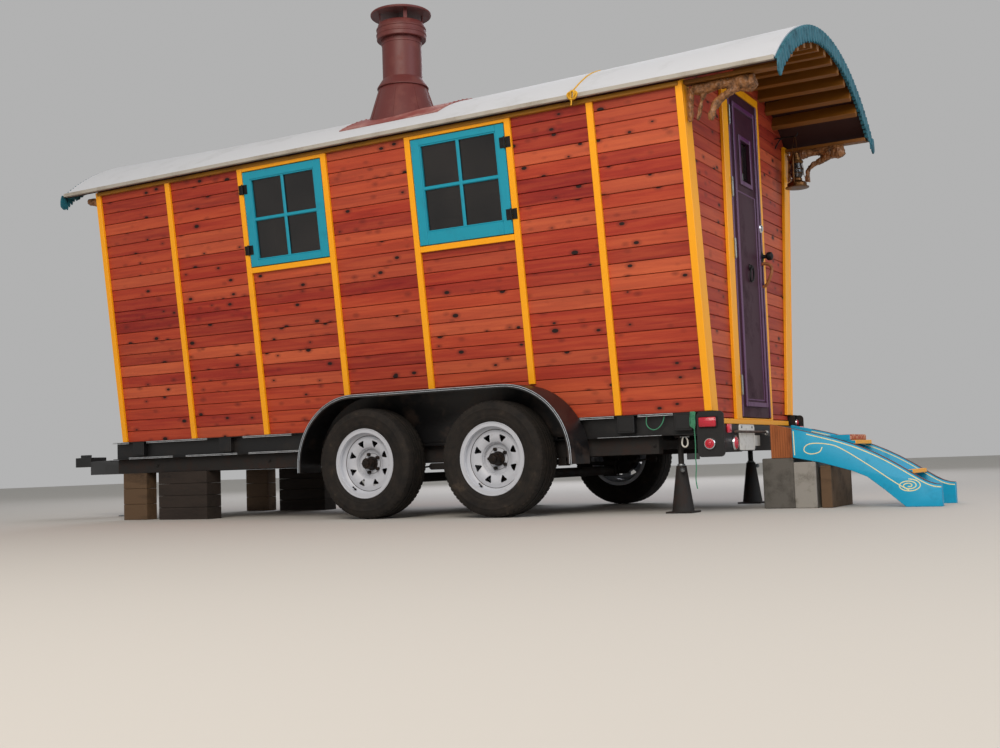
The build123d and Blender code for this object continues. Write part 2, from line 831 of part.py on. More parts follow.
# Hurricane lantern on a wall hook, at the right rear corner
lantern_x = -1805.0
lantern_inset = 221.0
lantern_y = lantern_inset - half_width_eave
hook_lift = 38.0           # over the eave
lantern_hook_z = eave_z + hook_lift
bail_long = 105.0          # from the hood up to the hook
hook_rod = 5.0
bail_rod = 3.0
side_tube = 6.0
side_tube_bend = 12.0
lantern_rows = (
    # radius, height over the foot: tank, globe and hood
    (0, 0), (60, 0), (62, 36), (34, 52), (34, 66), (42, 106),
    (34, 161), (46, 176), (30, 211), (22, 236), (0, 236),
)
lantern_foot = lantern_hook_z - bail_long - lantern_rows[-1][1]
side_tube_rows = (
    # out from the lantern's middle, height over its foot
    (50, 26), (68, 56), (62, 211), (15, 228),
)
bail_foot = lantern_foot + lantern_rows[-1][1] - side_tube / 2
with BuildPart() as lantern:
    with BuildSketch(Plane.XZ.offset(-lantern_y)):
        with BuildLine():
            outline = [(ahead(lantern_x) + reach, lantern_foot + up) for reach, up in lantern_rows]
            Polyline(*outline, close=True)
        make_face()
    revolve(axis=Axis((ahead(lantern_x), lantern_y, 0), (0, 0, 1)))
    for side in (-1, 1):
        tube_spots = []
        for out, up in side_tube_rows:
            tube_spots.append((ahead(lantern_x), lantern_y + side * out, lantern_foot + up))
        with BuildLine() as tube_line:
            FilletPolyline(*tube_spots, radius=side_tube_bend)
        with BuildSketch(Plane(origin=tube_line.line @ 0, z_dir=tube_line.line % 0)):
            Circle(side_tube)
        sweep(path=tube_line.line)
    with Locations(Location((ahead(lantern_x), lantern_y, (bail_foot + lantern_hook_z) / 2))):
        Cylinder(bail_rod, lantern_hook_z - bail_foot)
    with BuildSketch(Plane.YZ.offset(ahead(lantern_x))):
        with Locations((lantern_y, lantern_hook_z)):
            Circle(hook_rod)
    extrude(amount=box_rear - lantern_x - seat)
write(lantern, "lantern")

# Deck frame: outward-facing channels along the sides, joists between them, and a plate across the front
rail_in = rail_out - rail_depth
rail_foot = deck_top - rail_height + seat
rail_top = deck_top - seat
joist_top = deck_top - deck_board
joist_rows = [first_joist + joist_pitch * index for index in range(joist_count)]
rail_length = deck_front - deck_rear
with BuildPart() as deck_rails:
    with BuildSketch(Plane.YZ.offset(ahead(deck_rear))):
        for side in (-1, 1):
            with Locations((side * (rail_in + rail_plate / 2), (rail_foot + rail_top) / 2)):
                Rectangle(rail_plate, rail_top - rail_foot)
            for height in (rail_foot + rail_plate / 2, rail_top - rail_plate / 2):
                with Locations((side * (rail_in + rail_depth / 2), height)):
                    Rectangle(rail_depth, rail_plate)
    extrude(amount=rail_length)
    with BuildSketch(Plane.XY.offset(rail_foot)):
        for place in joist_rows:
            with Locations((ahead(place), 0)):
                Rectangle(joist_width, 2 * (rail_in - seat))
        with Locations((ahead(box_rear + seat + joist_width / 2), 0)):
            Rectangle(joist_width, 2 * (rail_in - seat))
    extrude(amount=joist_top - rail_foot)
    with BuildSketch(Plane.YZ.offset(ahead(deck_front) - rail_plate)):
        with Locations((0, (rail_foot + rail_top) / 2)):
            Rectangle(2 * (rail_in - seat), rail_top - rail_foot)
    extrude(amount=rail_plate)
write(deck_rails, "deck_rails")

# Deck boards as one slab on the joists
slab_rear = ahead(box_rear) + trim_thick + running
slab_front = ahead(deck_front) - rail_plate - seat
with BuildPart() as deck:
    with BuildSketch(Plane.XY.offset(joist_top + seat)):
        with Locations(((slab_rear + slab_front) / 2, 0)):
            Rectangle(slab_front - slab_rear, 2 * (rail_in - seat))
    extrude(amount=rail_top - joist_top - seat)
write(deck, "deck")

# Chassis: main rails under the joists, cross tubes, and the spring hangers with their equalizers
beam_top = deck_top - rail_height
beam_low = beam_top - beam_height
beam_mid = rail_in - beam_width / 2
beam_front = deck_front - rail_plate
cross_tall = 50.0
cross_wide = 50.0
cross_rows = (-1338.0, 0.0, 1400.0, 2410.0)
spring_reach = 315.0
spring_wide = 45.0
spring_z = 286.0           # main leaf's lower face at the axle
spring_camber = 18.0
eye_z = spring_z + spring_camber
eye_radius = 15.0
pin_radius = 7.0
hanger_plate = 6.0
hanger_wide = 50.0
hanger_low = 282.0
equalizer_reach = axle_gap / 2 - spring_reach
equalizer_tall = 40.0
hanger_half = spring_wide / 2 + seat + hanger_plate
with BuildPart() as chassis_frame:
    for side in (-1, 1):
        with BuildSketch(Plane.YZ.offset(ahead(beam_rear))):
            with Locations((side * beam_mid, (beam_low + beam_top) / 2)):
                Rectangle(beam_width, beam_height)
        extrude(amount=beam_front - beam_rear)
    with BuildSketch(Plane.XY.offset(beam_low + cross_tall / 2)):
        for place in cross_rows:
            with Locations((ahead(place), 0)):
                Rectangle(cross_wide, 2 * (beam_mid - beam_width / 2 - seat))
    extrude(amount=cross_tall)
    for side in (-1, 1):
        for cheek in (-1, 1):
            cheek_y = side * beam_mid + cheek * (hanger_half - hanger_plate / 2)
            with BuildSketch(Plane.XZ.offset(-cheek_y)):
                for place in (-axle_gap / 2 - spring_reach, axle_gap / 2 + spring_reach):
                    with Locations((ahead(place), (hanger_low + beam_low - seat) / 2)):
                        Rectangle(hanger_wide, beam_low - seat - hanger_low)
                with Locations((mid_x, eye_z)):
                    SlotCenterToCenter(2 * equalizer_reach, equalizer_tall)
            extrude(amount=hanger_plate / 2, both=True)
        with BuildSketch(Plane.XZ.offset(-side * beam_mid)):
            with Locations((mid_x, (eye_z + beam_low - seat) / 2)):
                Rectangle(equalizer_tall, beam_low - seat - eye_z)
            for reach in (equalizer_reach, axle_gap / 2 + spring_reach):
                with Locations((ahead(-reach), eye_z), (ahead(reach), eye_z)):
                    Circle(pin_radius)
        extrude(amount=hanger_half, both=True)
write(chassis_frame, "chassis_frame")

# Leaf springs, each with its clamp plates and U-bolts on the axle tube
leaf_thick = 8.0
leaf_count = 3
leaf_step = 90.0
spring_radius = (spring_reach ** 2 + spring_camber ** 2) / (2 * spring_camber)
clamp_long = 96.0
clamp_wide = 66.0
clamp_thick = 8.0
clamp_rod = 5.0
clamp_x = 38.0
clamp_y = 28.0
tube_z = hub_z - axle_drop
clamp_low = tube_z - axle_radius - seat
with BuildPart() as springs:
    for place in (-axle_gap / 2, axle_gap / 2):
        for side in (-1, 1):
            with BuildSketch(Plane.XZ.offset(-side * beam_mid)):
                for index in range(leaf_count):
                    half = spring_reach - leaf_step * index
                    lower = spring_radius + leaf_thick * index
                    upper = lower - leaf_thick
                    bow_z = spring_z + spring_radius
                    low_end = bow_z - sqrt(lower ** 2 - half ** 2)
                    high_end = bow_z - sqrt(upper ** 2 - half ** 2)
                    middle = ahead(place)
                    rear_tip = middle - half
                    front_tip = middle + half
                    with BuildLine():
                        ThreePointArc((rear_tip, low_end), (middle, bow_z - lower), (front_tip, low_end))
                        Line((front_tip, low_end), (front_tip, high_end))
                        ThreePointArc((front_tip, high_end), (middle, bow_z - upper), (rear_tip, high_end))
                        Line((rear_tip, high_end), (rear_tip, low_end))
                    make_face()
                for reach in (-spring_reach, spring_reach):
                    with Locations((ahead(place + reach), eye_z)):
                        Circle(eye_radius)
                for reach in (-spring_reach, spring_reach):
                    with Locations((ahead(place + reach), eye_z)):
                        Circle(pin_radius + pin_gap, mode=Mode.SUBTRACT)
            extrude(amount=spring_wide / 2, both=True)
            for height in (clamp_low - clamp_thick, spring_z + leaf_thick):
                with BuildSketch(Plane.XY.offset(height)):
                    with Locations((ahead(place), side * beam_mid)):
                        Rectangle(clamp_long, clamp_wide)
                extrude(amount=clamp_thick)
            with BuildSketch(Plane.XY.offset(clamp_low - clamp_thick)):
                with Locations((ahead(place), side * beam_mid)):
                    with GridLocations(2 * clamp_x, 2 * clamp_y, 2, 2):
                        Circle(clamp_rod)
            extrude(amount=spring_z + leaf_thick + 2 * clamp_thick - clamp_low)
write(springs, "springs")

# Drop axles: tube, arms, spindles and brake backing plates
arm_in = rail_in + running
arm_thick = 24.0
backing_radius = 125.0
backing_thick = 4.0
drum_in = track / 2 + disc_face - disc_thick - drum_depth
backing_in = drum_in - running - backing_thick
stub_radius = 26.0
spindle_tip = track / 2 + spindle_reach
with BuildPart() as axles:
    for place in (-axle_gap / 2, axle_gap / 2):
        with BuildSketch(Plane.XZ):
            with Locations((ahead(place), tube_z)):
                Circle(axle_radius)
        extrude(amount=arm_in - seat, both=True)
        for side in (-1, 1):
            axle_rows = (
                # radius, inner end, outer end
                (stub_radius, arm_in, backing_in + backing_thick),
                (backing_radius, backing_in, backing_in + backing_thick),
                (spindle_radius, backing_in, spindle_tip),
            )
            with BuildSketch(Plane.XZ.offset(-side * arm_in)):
                with Locations((ahead(place), hub_z - axle_drop / 2)):
                    SlotCenterToCenter(axle_drop, 2 * axle_radius, rotation=90)
            extrude(amount=-side * arm_thick)
            for radius, inner, outer in axle_rows:
                with BuildSketch(Plane.XZ.offset(-side * inner)):
                    with Locations((ahead(place), hub_z)):
                        Circle(radius)
                extrude(amount=-side * (outer - inner))
write(axles, "axles")

# Wheels: tyre, rim and hub of each; profiles run outboard from the tyre's middle, and out from the axle
bead = rim_width / 2 - rim_wall - seat
bead_swell = 10.0
bead_rise = 16.0
sidewall_rows = (
    # in from the tyre's widest, in from its tread: widest, shoulder, tread's edge
    (0.0, 74.0),
    (4.0, 40.0),
    (14.0, 12.0),
    (32.0, 3.0),
)
tyre_profile = [
    # outboard, radius
    (bead, bead_radius + seat),
    (bead, flange_radius),
    (bead + bead_swell, flange_radius + bead_rise),
]
tyre_profile += [(tyre_width / 2 - narrower, tyre_radius - lower) for narrower, lower in sidewall_rows]
tyre_profile.append((0, tyre_radius))
flange = rim_width / 2
bead_seat = 30.0           # each width from the nearer flange, first inboard and then outboard
well_in = 40.0
ramp_out = 28.0
well_out = 48.0
rim_profile = (
    # outboard, radius: the barrel's tyre side, then back along its inner side
    (-flange, flange_radius),
    (-flange + rim_wall, flange_radius),
    (-flange + rim_wall, bead_radius),
    (-flange + bead_seat, bead_radius),
    (-flange + well_in, well_radius),
    (flange - well_out, well_radius),
    (flange - ramp_out, bead_radius),
    (flange - rim_wall, bead_radius),
    (flange - rim_wall, flange_radius),
    (flange, flange_radius),
    (flange, bead_radius - rim_wall),
    (flange - ramp_out, bead_radius - rim_wall),
    (flange - well_out, well_radius - rim_wall),
    (-flange + well_in, well_radius - rim_wall),
    (-flange + bead_seat, bead_radius - rim_wall),
    (-flange, bead_radius - rim_wall),
)
centre_radius = 36.0
disc_edge = 34.0           # its rim's weld, outboard of the bolting face
disc_rows = (
    # outboard of the bolting face, radius
    (0.0, centre_radius),
    (0.0, 84.0),
    (30.0, 96.0),
    (42.0, 122.0),
    (42.0, 150.0),
    (disc_edge, well_radius - rim_wall + 1),
)
disc_profile = [(disc_face + out, radius) for out, radius in disc_rows]
disc_back = [(out - disc_thick, radius) for out, radius in reversed(disc_profile)]
hole_ring = 127.0
hole_size = 30.0
hole_round = 6.0
hole_turn = 90 + 180 / spoke_holes
bolt_turn = 180.0
nut_tall = 18.0
hub_cap_reach = 75.0
hub_cap_radius = 33.0
wheel_spots = (
    # name, place along X, side
    ("front_left", axle_gap / 2, 1),
    ("rear_left", -axle_gap / 2, 1),
    ("front_right", axle_gap / 2, -1),
    ("rear_right", -axle_gap / 2, -1),
)
for name, place, side in wheel_spots:
    section = Plane(
        origin=(ahead(place), side * track / 2, hub_z),
        x_dir=(0, side, 0),
        z_dir=(side, 0, 0),
    )
    face = Plane(
        origin=(ahead(place), side * track / 2, hub_z),
        x_dir=(-side, 0, 0),
        z_dir=(0, side, 0),
    )
    wheel_axis = Axis((ahead(place), 0, hub_z), (0, 1, 0))
    with BuildPart() as tyre:
        with BuildSketch(section):
            with BuildLine():
                inboard = [(-out, radius) for out, radius in reversed(tyre_profile[:-1])]
                Polyline(*tyre_profile, *inboard, close=True)
            make_face()
        revolve(axis=wheel_axis)
    write(tyre, f"tyre_{name}")
    with BuildPart() as rim:
        with BuildSketch(section):
            with BuildLine():
                Polyline(*rim_profile, close=True)
            make_face()
            with BuildLine():
                Polyline(*disc_profile, *disc_back, close=True)
            make_face()
        revolve(axis=wheel_axis)
        with BuildSketch(face.offset(rim_width)):
            with PolarLocations(hole_ring, spoke_holes, start_angle=hole_turn):
                RegularPolygon(hole_size, 3, rotation=180)
            fillet(vertices(), hole_round)
            with PolarLocations(bolt_circle / 2, bolt_count, start_angle=bolt_turn):
                Circle(stud_radius + pin_gap)
        extrude(amount=-rim_width, mode=Mode.SUBTRACT)
    write(rim, f"rim_{name}")
    with BuildPart() as hub:
        with BuildSketch(face.offset(drum_in - track / 2)):
            Circle(drum_radius)
        extrude(amount=disc_face - disc_thick - seat - drum_in + track / 2)
        with BuildSketch(face.offset(disc_face - disc_thick - seat)):
            Circle(hub_cap_radius)
        extrude(amount=hub_cap_reach - disc_face)
        with BuildSketch(face):
            with PolarLocations(bolt_circle / 2, bolt_count, start_angle=bolt_turn):
                Circle(stud_radius)
        extrude(amount=disc_face + nut_tall)
        with BuildSketch(face.offset(disc_face + seat)):
            with PolarLocations(bolt_circle / 2, bolt_count, start_angle=bolt_turn):
                RegularPolygon(nut_radius, 6)
        extrude(amount=nut_tall)
        with BuildSketch(face.offset(drum_in - track / 2)):
            Circle(spindle_radius + pin_gap)
        extrude(amount=spindle_tip + spindle_bore - drum_in, mode=Mode.SUBTRACT)
    write(hub, f"hub_{name}")

# Fenders: a rounded sheet over both tyres, a turned-down lip, and an apron fixed to the deck rail
apron_gap = 7.0
apron_in = rail_out + apron_gap
apron_out = apron_in + fender_sheet
mount_long = 1500.0


def fender_line(inset):
    """The fender's side view, inset from its outer face, as a list of places and its corner radius."""
    spots = (
        (ahead(fender_rear + inset), fender_low),
        (ahead(fender_rear + inset), fender_top - inset),
        (ahead(fender_front - inset), fender_top - inset),
        (ahead(fender_front - inset), fender_low),
    )
    return spots, fender_corner - inset


fender_bands = (
    # inner face, outer face, depth of the band in the side view
    (apron_in, fender_out, fender_sheet),
    (fender_out - fender_sheet, fender_out, fender_lip),
)
with BuildPart() as fender:
    for inner, outer, deep in fender_bands:
        outline, corner = fender_line(0)
        inline, inner_corner = fender_line(deep)
        with BuildSketch(Plane.XZ.offset(-inner)):
            with BuildLine():
                FilletPolyline(*outline, radius=corner)
                Line(outline[-1], inline[-1])
                FilletPolyline(*inline, radius=inner_corner)
                Line(inline[0], outline[0])
            make_face()
        extrude(amount=inner - outer)
    outline, corner = fender_line(0)
    with BuildSketch(Plane.XZ.offset(-apron_in)):
        with BuildLine():
            FilletPolyline(*outline, radius=corner)
            Line(outline[-1], outline[0])
        make_face()
        with Locations((ahead((fender_rear + fender_front) / 2), (fender_low + apron_low) / 2)):
            Rectangle(fender_front - fender_rear, apron_low - fender_low, mode=Mode.SUBTRACT)
    extrude(amount=apron_in - apron_out)
    with BuildSketch(Plane.XZ.offset(-rail_out - seat)):
        with Locations((ahead((fender_rear + fender_front) / 2), (rail_foot + rail_top) / 2)):
            Rectangle(mount_long, rail_top - rail_foot)
    extrude(amount=rail_out + seat - apron_in)
write_pair(fender, "fender")

# Tongue: two arms that meet at the coupler, and a gusset plate that holds the jack
tongue_face = rail_in - beam_width - seat
tongue_front = nose - coupler_length
slope = (tongue_face - tongue_half) / (tongue_front - tongue_root)
arm_slice = tongue_width / cos(atan(slope))
gusset_half = tongue_half + slope * gusset_length
with BuildPart() as tongue:
    with BuildSketch(Plane.XY.offset(beam_low)):
        for side in (-1, 1):
            with BuildLine():
                Polyline(
                    (ahead(tongue_root), side * tongue_face),
                    (ahead(tongue_front), side * tongue_half),
                    (ahead(tongue_front), side * (tongue_half - arm_slice)),
                    (ahead(tongue_root - arm_slice / slope), side * tongue_face),
                    close=True,
                )
            make_face()
    extrude(amount=beam_height)
    with BuildSketch(Plane.XY.offset(beam_top)):
        with BuildLine():
            Polyline(
                (ahead(tongue_front - gusset_length), gusset_half),
                (ahead(tongue_front), tongue_half),
                (ahead(tongue_front), -tongue_half),
                (ahead(tongue_front - gusset_length), -gusset_half),
                close=True,
            )
        make_face()
        with Locations((ahead(jack_x), 0)):
            Circle(jack_radius + seat, mode=Mode.SUBTRACT)
    extrude(amount=gusset_thick)
write(tongue, "tongue")

# Coupler with a ball socket from below, and its latch
ball_x = nose - ball_back
coupler_rear = tongue_front + seat
latch_long = 110.0
latch_wide = 18.0
latch_tall = 22.0
socket_deep = 30.0
with BuildPart() as coupler:
    with BuildSketch(Plane.XY.offset(coupler_low)):
        with BuildLine():
            Polyline(
                (ahead(coupler_rear), tongue_half),
                (ahead(ball_x), ball_back),
                (ahead(ball_x), -ball_back),
                (ahead(coupler_rear), -tongue_half),
                close=True,
            )
        make_face()
        with Locations((ahead(ball_x), 0)):
            Circle(ball_back)
    extrude(amount=coupler_high - coupler_low)
    with BuildSketch(Plane.XY.offset(coupler_high)):
        with Locations((ahead(ball_x - latch_long / 2), 0)):
            Rectangle(latch_long, latch_wide)
    extrude(amount=latch_tall)
    with BuildSketch(Plane.XY.offset(coupler_low)):
        with Locations((ahead(ball_x), 0)):
            Circle(ball_radius)
    extrude(amount=socket_deep, mode=Mode.SUBTRACT)
    with Locations((ahead(ball_x), 0, coupler_low + socket_deep)):
        Sphere(ball_radius, mode=Mode.SUBTRACT)
write(coupler, "coupler")

# Tongue jack: outer tube with a flange and a crank, and the leg that slides in it
jack_flange = 55.0
jack_bore = jack_radius - jack_wall
jack_head = 20.0
crank_inset = 40.0
crank_z = jack_high - crank_inset
crank_reach = 110.0
crank_drop = 120.0
crank_radius = 8.0
knob_long = 60.0
knob_wide = 14.0
with BuildPart() as jack_tube:
    with BuildSketch(Plane.XY.offset(jack_low)):
        with Locations((ahead(jack_x), 0)):
            Circle(jack_radius)
    extrude(amount=jack_high - jack_low)
    with BuildSketch(Plane.XY.offset(jack_low)):
        with Locations((ahead(jack_x), 0)):
            Circle(jack_bore)
    extrude(amount=jack_high - jack_head - jack_low, mode=Mode.SUBTRACT)
    with BuildSketch(Plane.XY.offset(beam_top + gusset_thick + seat)):
        with Locations((ahead(jack_x), 0)):
            Circle(jack_flange)
            Circle(jack_bore, mode=Mode.SUBTRACT)
    extrude(amount=gusset_thick)
    with BuildSketch(Plane.XZ.offset(jack_radius - 1)):
        with Locations((ahead(jack_x), crank_z)):
            Circle(crank_radius)
    extrude(amount=crank_reach - jack_radius)
    with BuildSketch(Plane.XY.offset(crank_z - crank_drop)):
        with Locations((ahead(jack_x), -crank_reach)):
            Circle(crank_radius)
    extrude(amount=crank_drop + crank_radius)
    with BuildSketch(Plane.XZ.offset(crank_reach)):
        with Locations((ahead(jack_x), crank_z - crank_drop)):
            Circle(knob_wide)
    extrude(amount=knob_long)
write(jack_tube, "jack_tube")

with BuildPart() as jack_leg:
    with BuildSketch(Plane.XY):
        with Locations((ahead(jack_x), 0)):
            Circle(jack_foot)
    extrude(amount=jack_foot_thick)
    with BuildSketch(Plane.XY.offset(jack_foot_thick)):
        with Locations((ahead(jack_x), 0)):
            Circle(jack_leg_radius)
    extrude(amount=jack_leg_top - jack_foot_thick)
write(jack_leg, "jack_leg")

# Rear beam with the lamp plates, and a round bar behind it
lamp_plate_in = rail_out + seat
lamp_plate_out = lamp_plate_in + lamp_plate_thick
beam_end_rear = deck_rear - seat - beam_end_thick
lamp_plate_rear = beam_end_rear
lamp_plate_high = 548.0
grab_x = -1785.0
grab_inset = 105.0
grab_rows = (80.0, rail_out - grab_inset)
grab_stubs = (150.0, 560.0)
with BuildPart() as rear_beam:
    with BuildSketch(Plane.YZ.offset(ahead(beam_end_rear))):
        with Locations((0, (beam_end_low + beam_end_high) / 2)):
            Rectangle(2 * lamp_plate_out, beam_end_high - beam_end_low)
    extrude(amount=beam_end_thick)
    for side in (-1, 1):
        with BuildSketch(Plane.XZ.offset(-side * lamp_plate_in)):
            with BuildLine():
                FilletPolyline(
                    (ahead(lamp_plate_front), lamp_plate_low),
                    (ahead(lamp_plate_rear), lamp_plate_low),
                    (ahead(lamp_plate_rear), lamp_plate_high),
                    (ahead(lamp_plate_front), lamp_plate_high),
                    close=True,
                    radius=3 * lamp_plate_thick,
                )
            make_face()
        extrude(amount=-side * lamp_plate_thick)
    with BuildSketch(Plane.XZ.offset(-grab_rows[0])):
        with Locations((ahead(grab_x), grab_bar_z)):
            Circle(grab_bar_radius)
    extrude(amount=grab_rows[0] - grab_rows[1])
    for place in grab_stubs:
        with BuildSketch(Plane.YZ.offset(ahead(grab_x))):
            with Locations((place, grab_bar_z)):
                Circle(grab_bar_radius / 2)
        extrude(amount=beam_end_rear - grab_x)
write(rear_beam, "rear_beam")

# Lamps: on the lamp plates facing sideways, and on the beam facing rearwards
lamp_out = 22.0
side_lamp_x = -1673.0
side_lamp_z = 490.0
side_lamp_long = 100.0
side_lamp_tall = 57.0
round_lamp_x = -1680.0
round_lamp_z = 374.0
round_lamp_radius = 32.5
rear_lamp_inset = 145.0
rear_lamp_y = rail_out - rear_lamp_inset
rear_lamp_z = 375.0
rear_lamp_radius = 40.0
reflector_inset = 55.0
reflector_y = rail_out - reflector_inset
reflector_z = 453.0
reflector_long = 60.0
reflector_tall = 48.0
reflector_out = 10.0
marker_radius = 22.0
marker_z = 501.0
marker_out = 15.0
with BuildPart() as tail_lamps:
    for side in (-1, 1):
        with BuildSketch(Plane.XZ.offset(-side * (lamp_plate_out + seat))):
            with Locations((ahead(side_lamp_x), side_lamp_z)):
                Rectangle(side_lamp_long, side_lamp_tall)
            with Locations((ahead(round_lamp_x), round_lamp_z)):
                Circle(round_lamp_radius)
        extrude(amount=-side * lamp_out)
        with BuildSketch(Plane.YZ.offset(ahead(beam_end_rear) - seat)):
            with Locations((side * rear_lamp_y, rear_lamp_z)):
                Circle(rear_lamp_radius)
        extrude(amount=-lamp_out)
        with BuildSketch(Plane.YZ.offset(ahead(beam_end_rear) - seat)):
            with Locations((side * reflector_y, reflector_z)):
                Rectangle(reflector_long, reflector_tall)
        extrude(amount=-reflector_out)
        with BuildSketch(Plane.YZ.offset(ahead(deck_rear) - seat)):
            with Locations((side * (rail_out - rail_depth / 2), marker_z)):
                Circle(marker_radius)
        extrude(amount=-marker_out)
write(tail_lamps, "tail_lamps")

# Blank plate, and a blank tag beside it
plate_thick = 2.0
plate_y = 385.0
plate_z = 405.0
plate_long = 262.0
plate_tall = 142.0
plate_hole = 3.5
plate_holes = 178.0
plate_hole_drop = 14.0
tag_y = 205.0
tag_z = 387.0
tag_long = 90.0
tag_tall = 60.0
with BuildPart() as plates:
    with BuildSketch(Plane.YZ.offset(ahead(beam_end_rear) - seat)):
        with Locations((plate_y, plate_z)):
            RectangleRounded(plate_long, plate_tall, plate_hole_drop)
        with Locations((plate_y, plate_z + plate_tall / 2 - plate_hole_drop)):
            with GridLocations(plate_holes, 0, 2, 1):
                Circle(plate_hole, mode=Mode.SUBTRACT)
        with Locations((tag_y, tag_z)):
            Rectangle(tag_long, tag_tall)
    extrude(amount=-plate_thick)
write(plates, "plates")

# Jack stands under the rearmost joist
stand_x = -1450.0
stand_inset = 100.0
stand_y = rail_in - stand_inset
stand_base = 150.0
stand_low_radius = 62.0
stand_high_radius = 28.0
stand_tall = 250.0
stand_post = 16.0
stand_saddle = 34.0
stand_saddle_thick = 12.0
stand_base_thick = 10.0
upright = (Align.CENTER, Align.CENTER, Align.MIN)
with BuildPart() as jack_stands:
    for side in (-1, 1):
        with BuildSketch():
            with Locations((ahead(stand_x), side * stand_y)):
                Rectangle(stand_base, stand_base)
        extrude(amount=stand_base_thick)
        with Locations((ahead(stand_x), side * stand_y, stand_base_thick)):
            Cone(stand_low_radius, stand_high_radius, stand_tall, align=upright)
            Cylinder(stand_post, rail_foot - seat - stand_base_thick, align=upright)
        with BuildSketch(Plane.XY.offset(rail_foot - seat - stand_saddle_thick)):
            with Locations((ahead(stand_x), side * stand_y)):
                Circle(stand_saddle)
        extrude(amount=stand_saddle_thick)
write(jack_stands, "jack_stands")

# Edges of the stringers: on the landing's side they stop short of its cheek, on the far side they run on
stringer_top = (
    # place along X, height
    (landing_rear - seat, 445.0),
    (-2198.0, 382.0),
    (-2324.0, 337.0),
    (-2460.0, 271.0),
    (-2604.0, 181.0),
    (-2691.0, 130.0),
    (toe, 116.0),
)
stringer_low = (
    (landing_rear - seat, landing_low),
    (-2126.0, 250.0),
    (-2292.0, 201.0),
    (-2373.0, 166.0),
    (-2466.0, 91.0),
    (-2570.0, 0.0),
)
steps_in = steps_half - stringer_thick


def under_stringer(place):
    """Height just below a stringer's lower edge."""
    for (start, high), (stop, low) in zip(stringer_low, stringer_low[1:]):
        if stop <= place <= start:
            return high + (low - high) * (start - place) / (start - stop) - seat
    return 0.0


# Footings: the landing's cheek, its front board and blocks under the steps, and cribbing under the front
landing_head = stringer_top[0][1]
block_rear = -2093.0
post_rear = -2176.0
footing_rows = [
    # rear, front, y from, y to, bottom, top
    (
        landing_front - landing_board, landing_front,
        seat - steps_in, steps_in - seat, landing_low, landing_head),
    (landing_rear, -1790.0, -170.0, steps_half, 0.0, landing_low - seat),
    (block_rear, landing_rear - seat, -steps_half, steps_half, 0.0, under_stringer(block_rear)),
    (post_rear, -2117.0, -steps_half, steps_half, 0.0, under_stringer(post_rear)),
]
prop_rows = (
    # rear, front, inboard and outboard of the main rail's middle
    (1940.0, 2385.0, 95.0, 50.0),
    (2520.0, 2745.0, 70.0, 30.0),
)
for rear, front, inboard, outboard in prop_rows:
    inner = beam_mid - inboard
    outer = beam_mid + outboard
    footing_rows.append((rear, front, inner, outer, 0.0, beam_low - seat))
    footing_rows.append((rear, front, -outer, -inner, 0.0, beam_low - seat))
with BuildPart() as footings:
    for rear, front, start, stop, low, high in footing_rows:
        with BuildSketch(Plane.XY.offset(low)):
            with Locations((ahead((rear + front) / 2), (start + stop) / 2)):
                Rectangle(front - rear, stop - start)
        extrude(amount=high - low)
    with BuildSketch(Plane.XZ.offset(-steps_half)):
        with BuildLine():
            Polyline(
                (ahead(landing_rear), landing_low),
                (ahead(landing_front), landing_low),
                (ahead(landing_front), landing_high),
                (ahead(landing_rear), landing_head),
                close=True,
            )
        make_face()
    extrude(amount=stringer_thick)
write(footings, "footings")

# Stringers of the entrance steps, and the treads between them
with BuildPart() as stringers:
    for side in (-1, 1):
        upper = list(stringer_top)
        lower = list(stringer_low)
        if side < 0:
            upper.insert(0, (landing_front, landing_high))
            lower.insert(0, (landing_front, landing_low))
        with BuildSketch(Plane.XZ.offset(-side * steps_half)):
            with BuildLine():
                Spline(*[(ahead(place), height) for place, height in upper])
                Polyline(
                    (ahead(toe), stringer_top[-1][1]),
                    (ahead(toe), 0),
                    *[(ahead(place), height) for place, height in reversed(lower)],
                    (ahead(upper[0][0]), upper[0][1]),
                )
            make_face()
        extrude(amount=side * stringer_thick)
write(stringers, "stringers")

with BuildPart() as treads:
    for nosing, height, deep, thick in tread_rows:
        with BuildSketch(Plane.XY.offset(height - thick)):
            with Locations((ahead(nosing + deep / 2), 0)):
                Rectangle(deep, 2 * (steps_in - seat))
        extrude(amount=thick)
write(treads, "treads")

# Green cords tied to the deck rail: one hangs free, one is a slack loop under the top flange
cord_radius = 3.0
cord_share = 0.45      # of the shorter run, up to each bend's start
tail_route = (
    # place along X, out from the middle, height
    (-1600.0, 748.3, 547.0),
    (-1595.0, 751.0, 495.0),
    (-1593.0, 753.0, 452.0),
    (-1596.0, 754.0, 405.0),
    (-1595.5, 752.0, 350.0),
    (-1593.0, 753.0, 300.0),
    (-1597.0, 755.0, 252.0),
    (-1591.0, 754.0, 208.0),
    (-1589.0, 752.0, 170.0),
    (-1597.0, 753.0, 135.0),
)
loop_route = (
    (-1314.0, 735.0, 543.8),
    (-1306.0, 735.5, 508.0),
    (-1314.0, 736.0, 482.0),
    (-1333.0, 735.0, 466.0),
    (-1354.0, 734.0, 461.0),
    (-1377.0, 735.0, 469.0),
    (-1396.0, 736.0, 486.0),
    (-1410.0, 735.0, 509.0),
    (-1418.0, 734.0, 543.8),
)


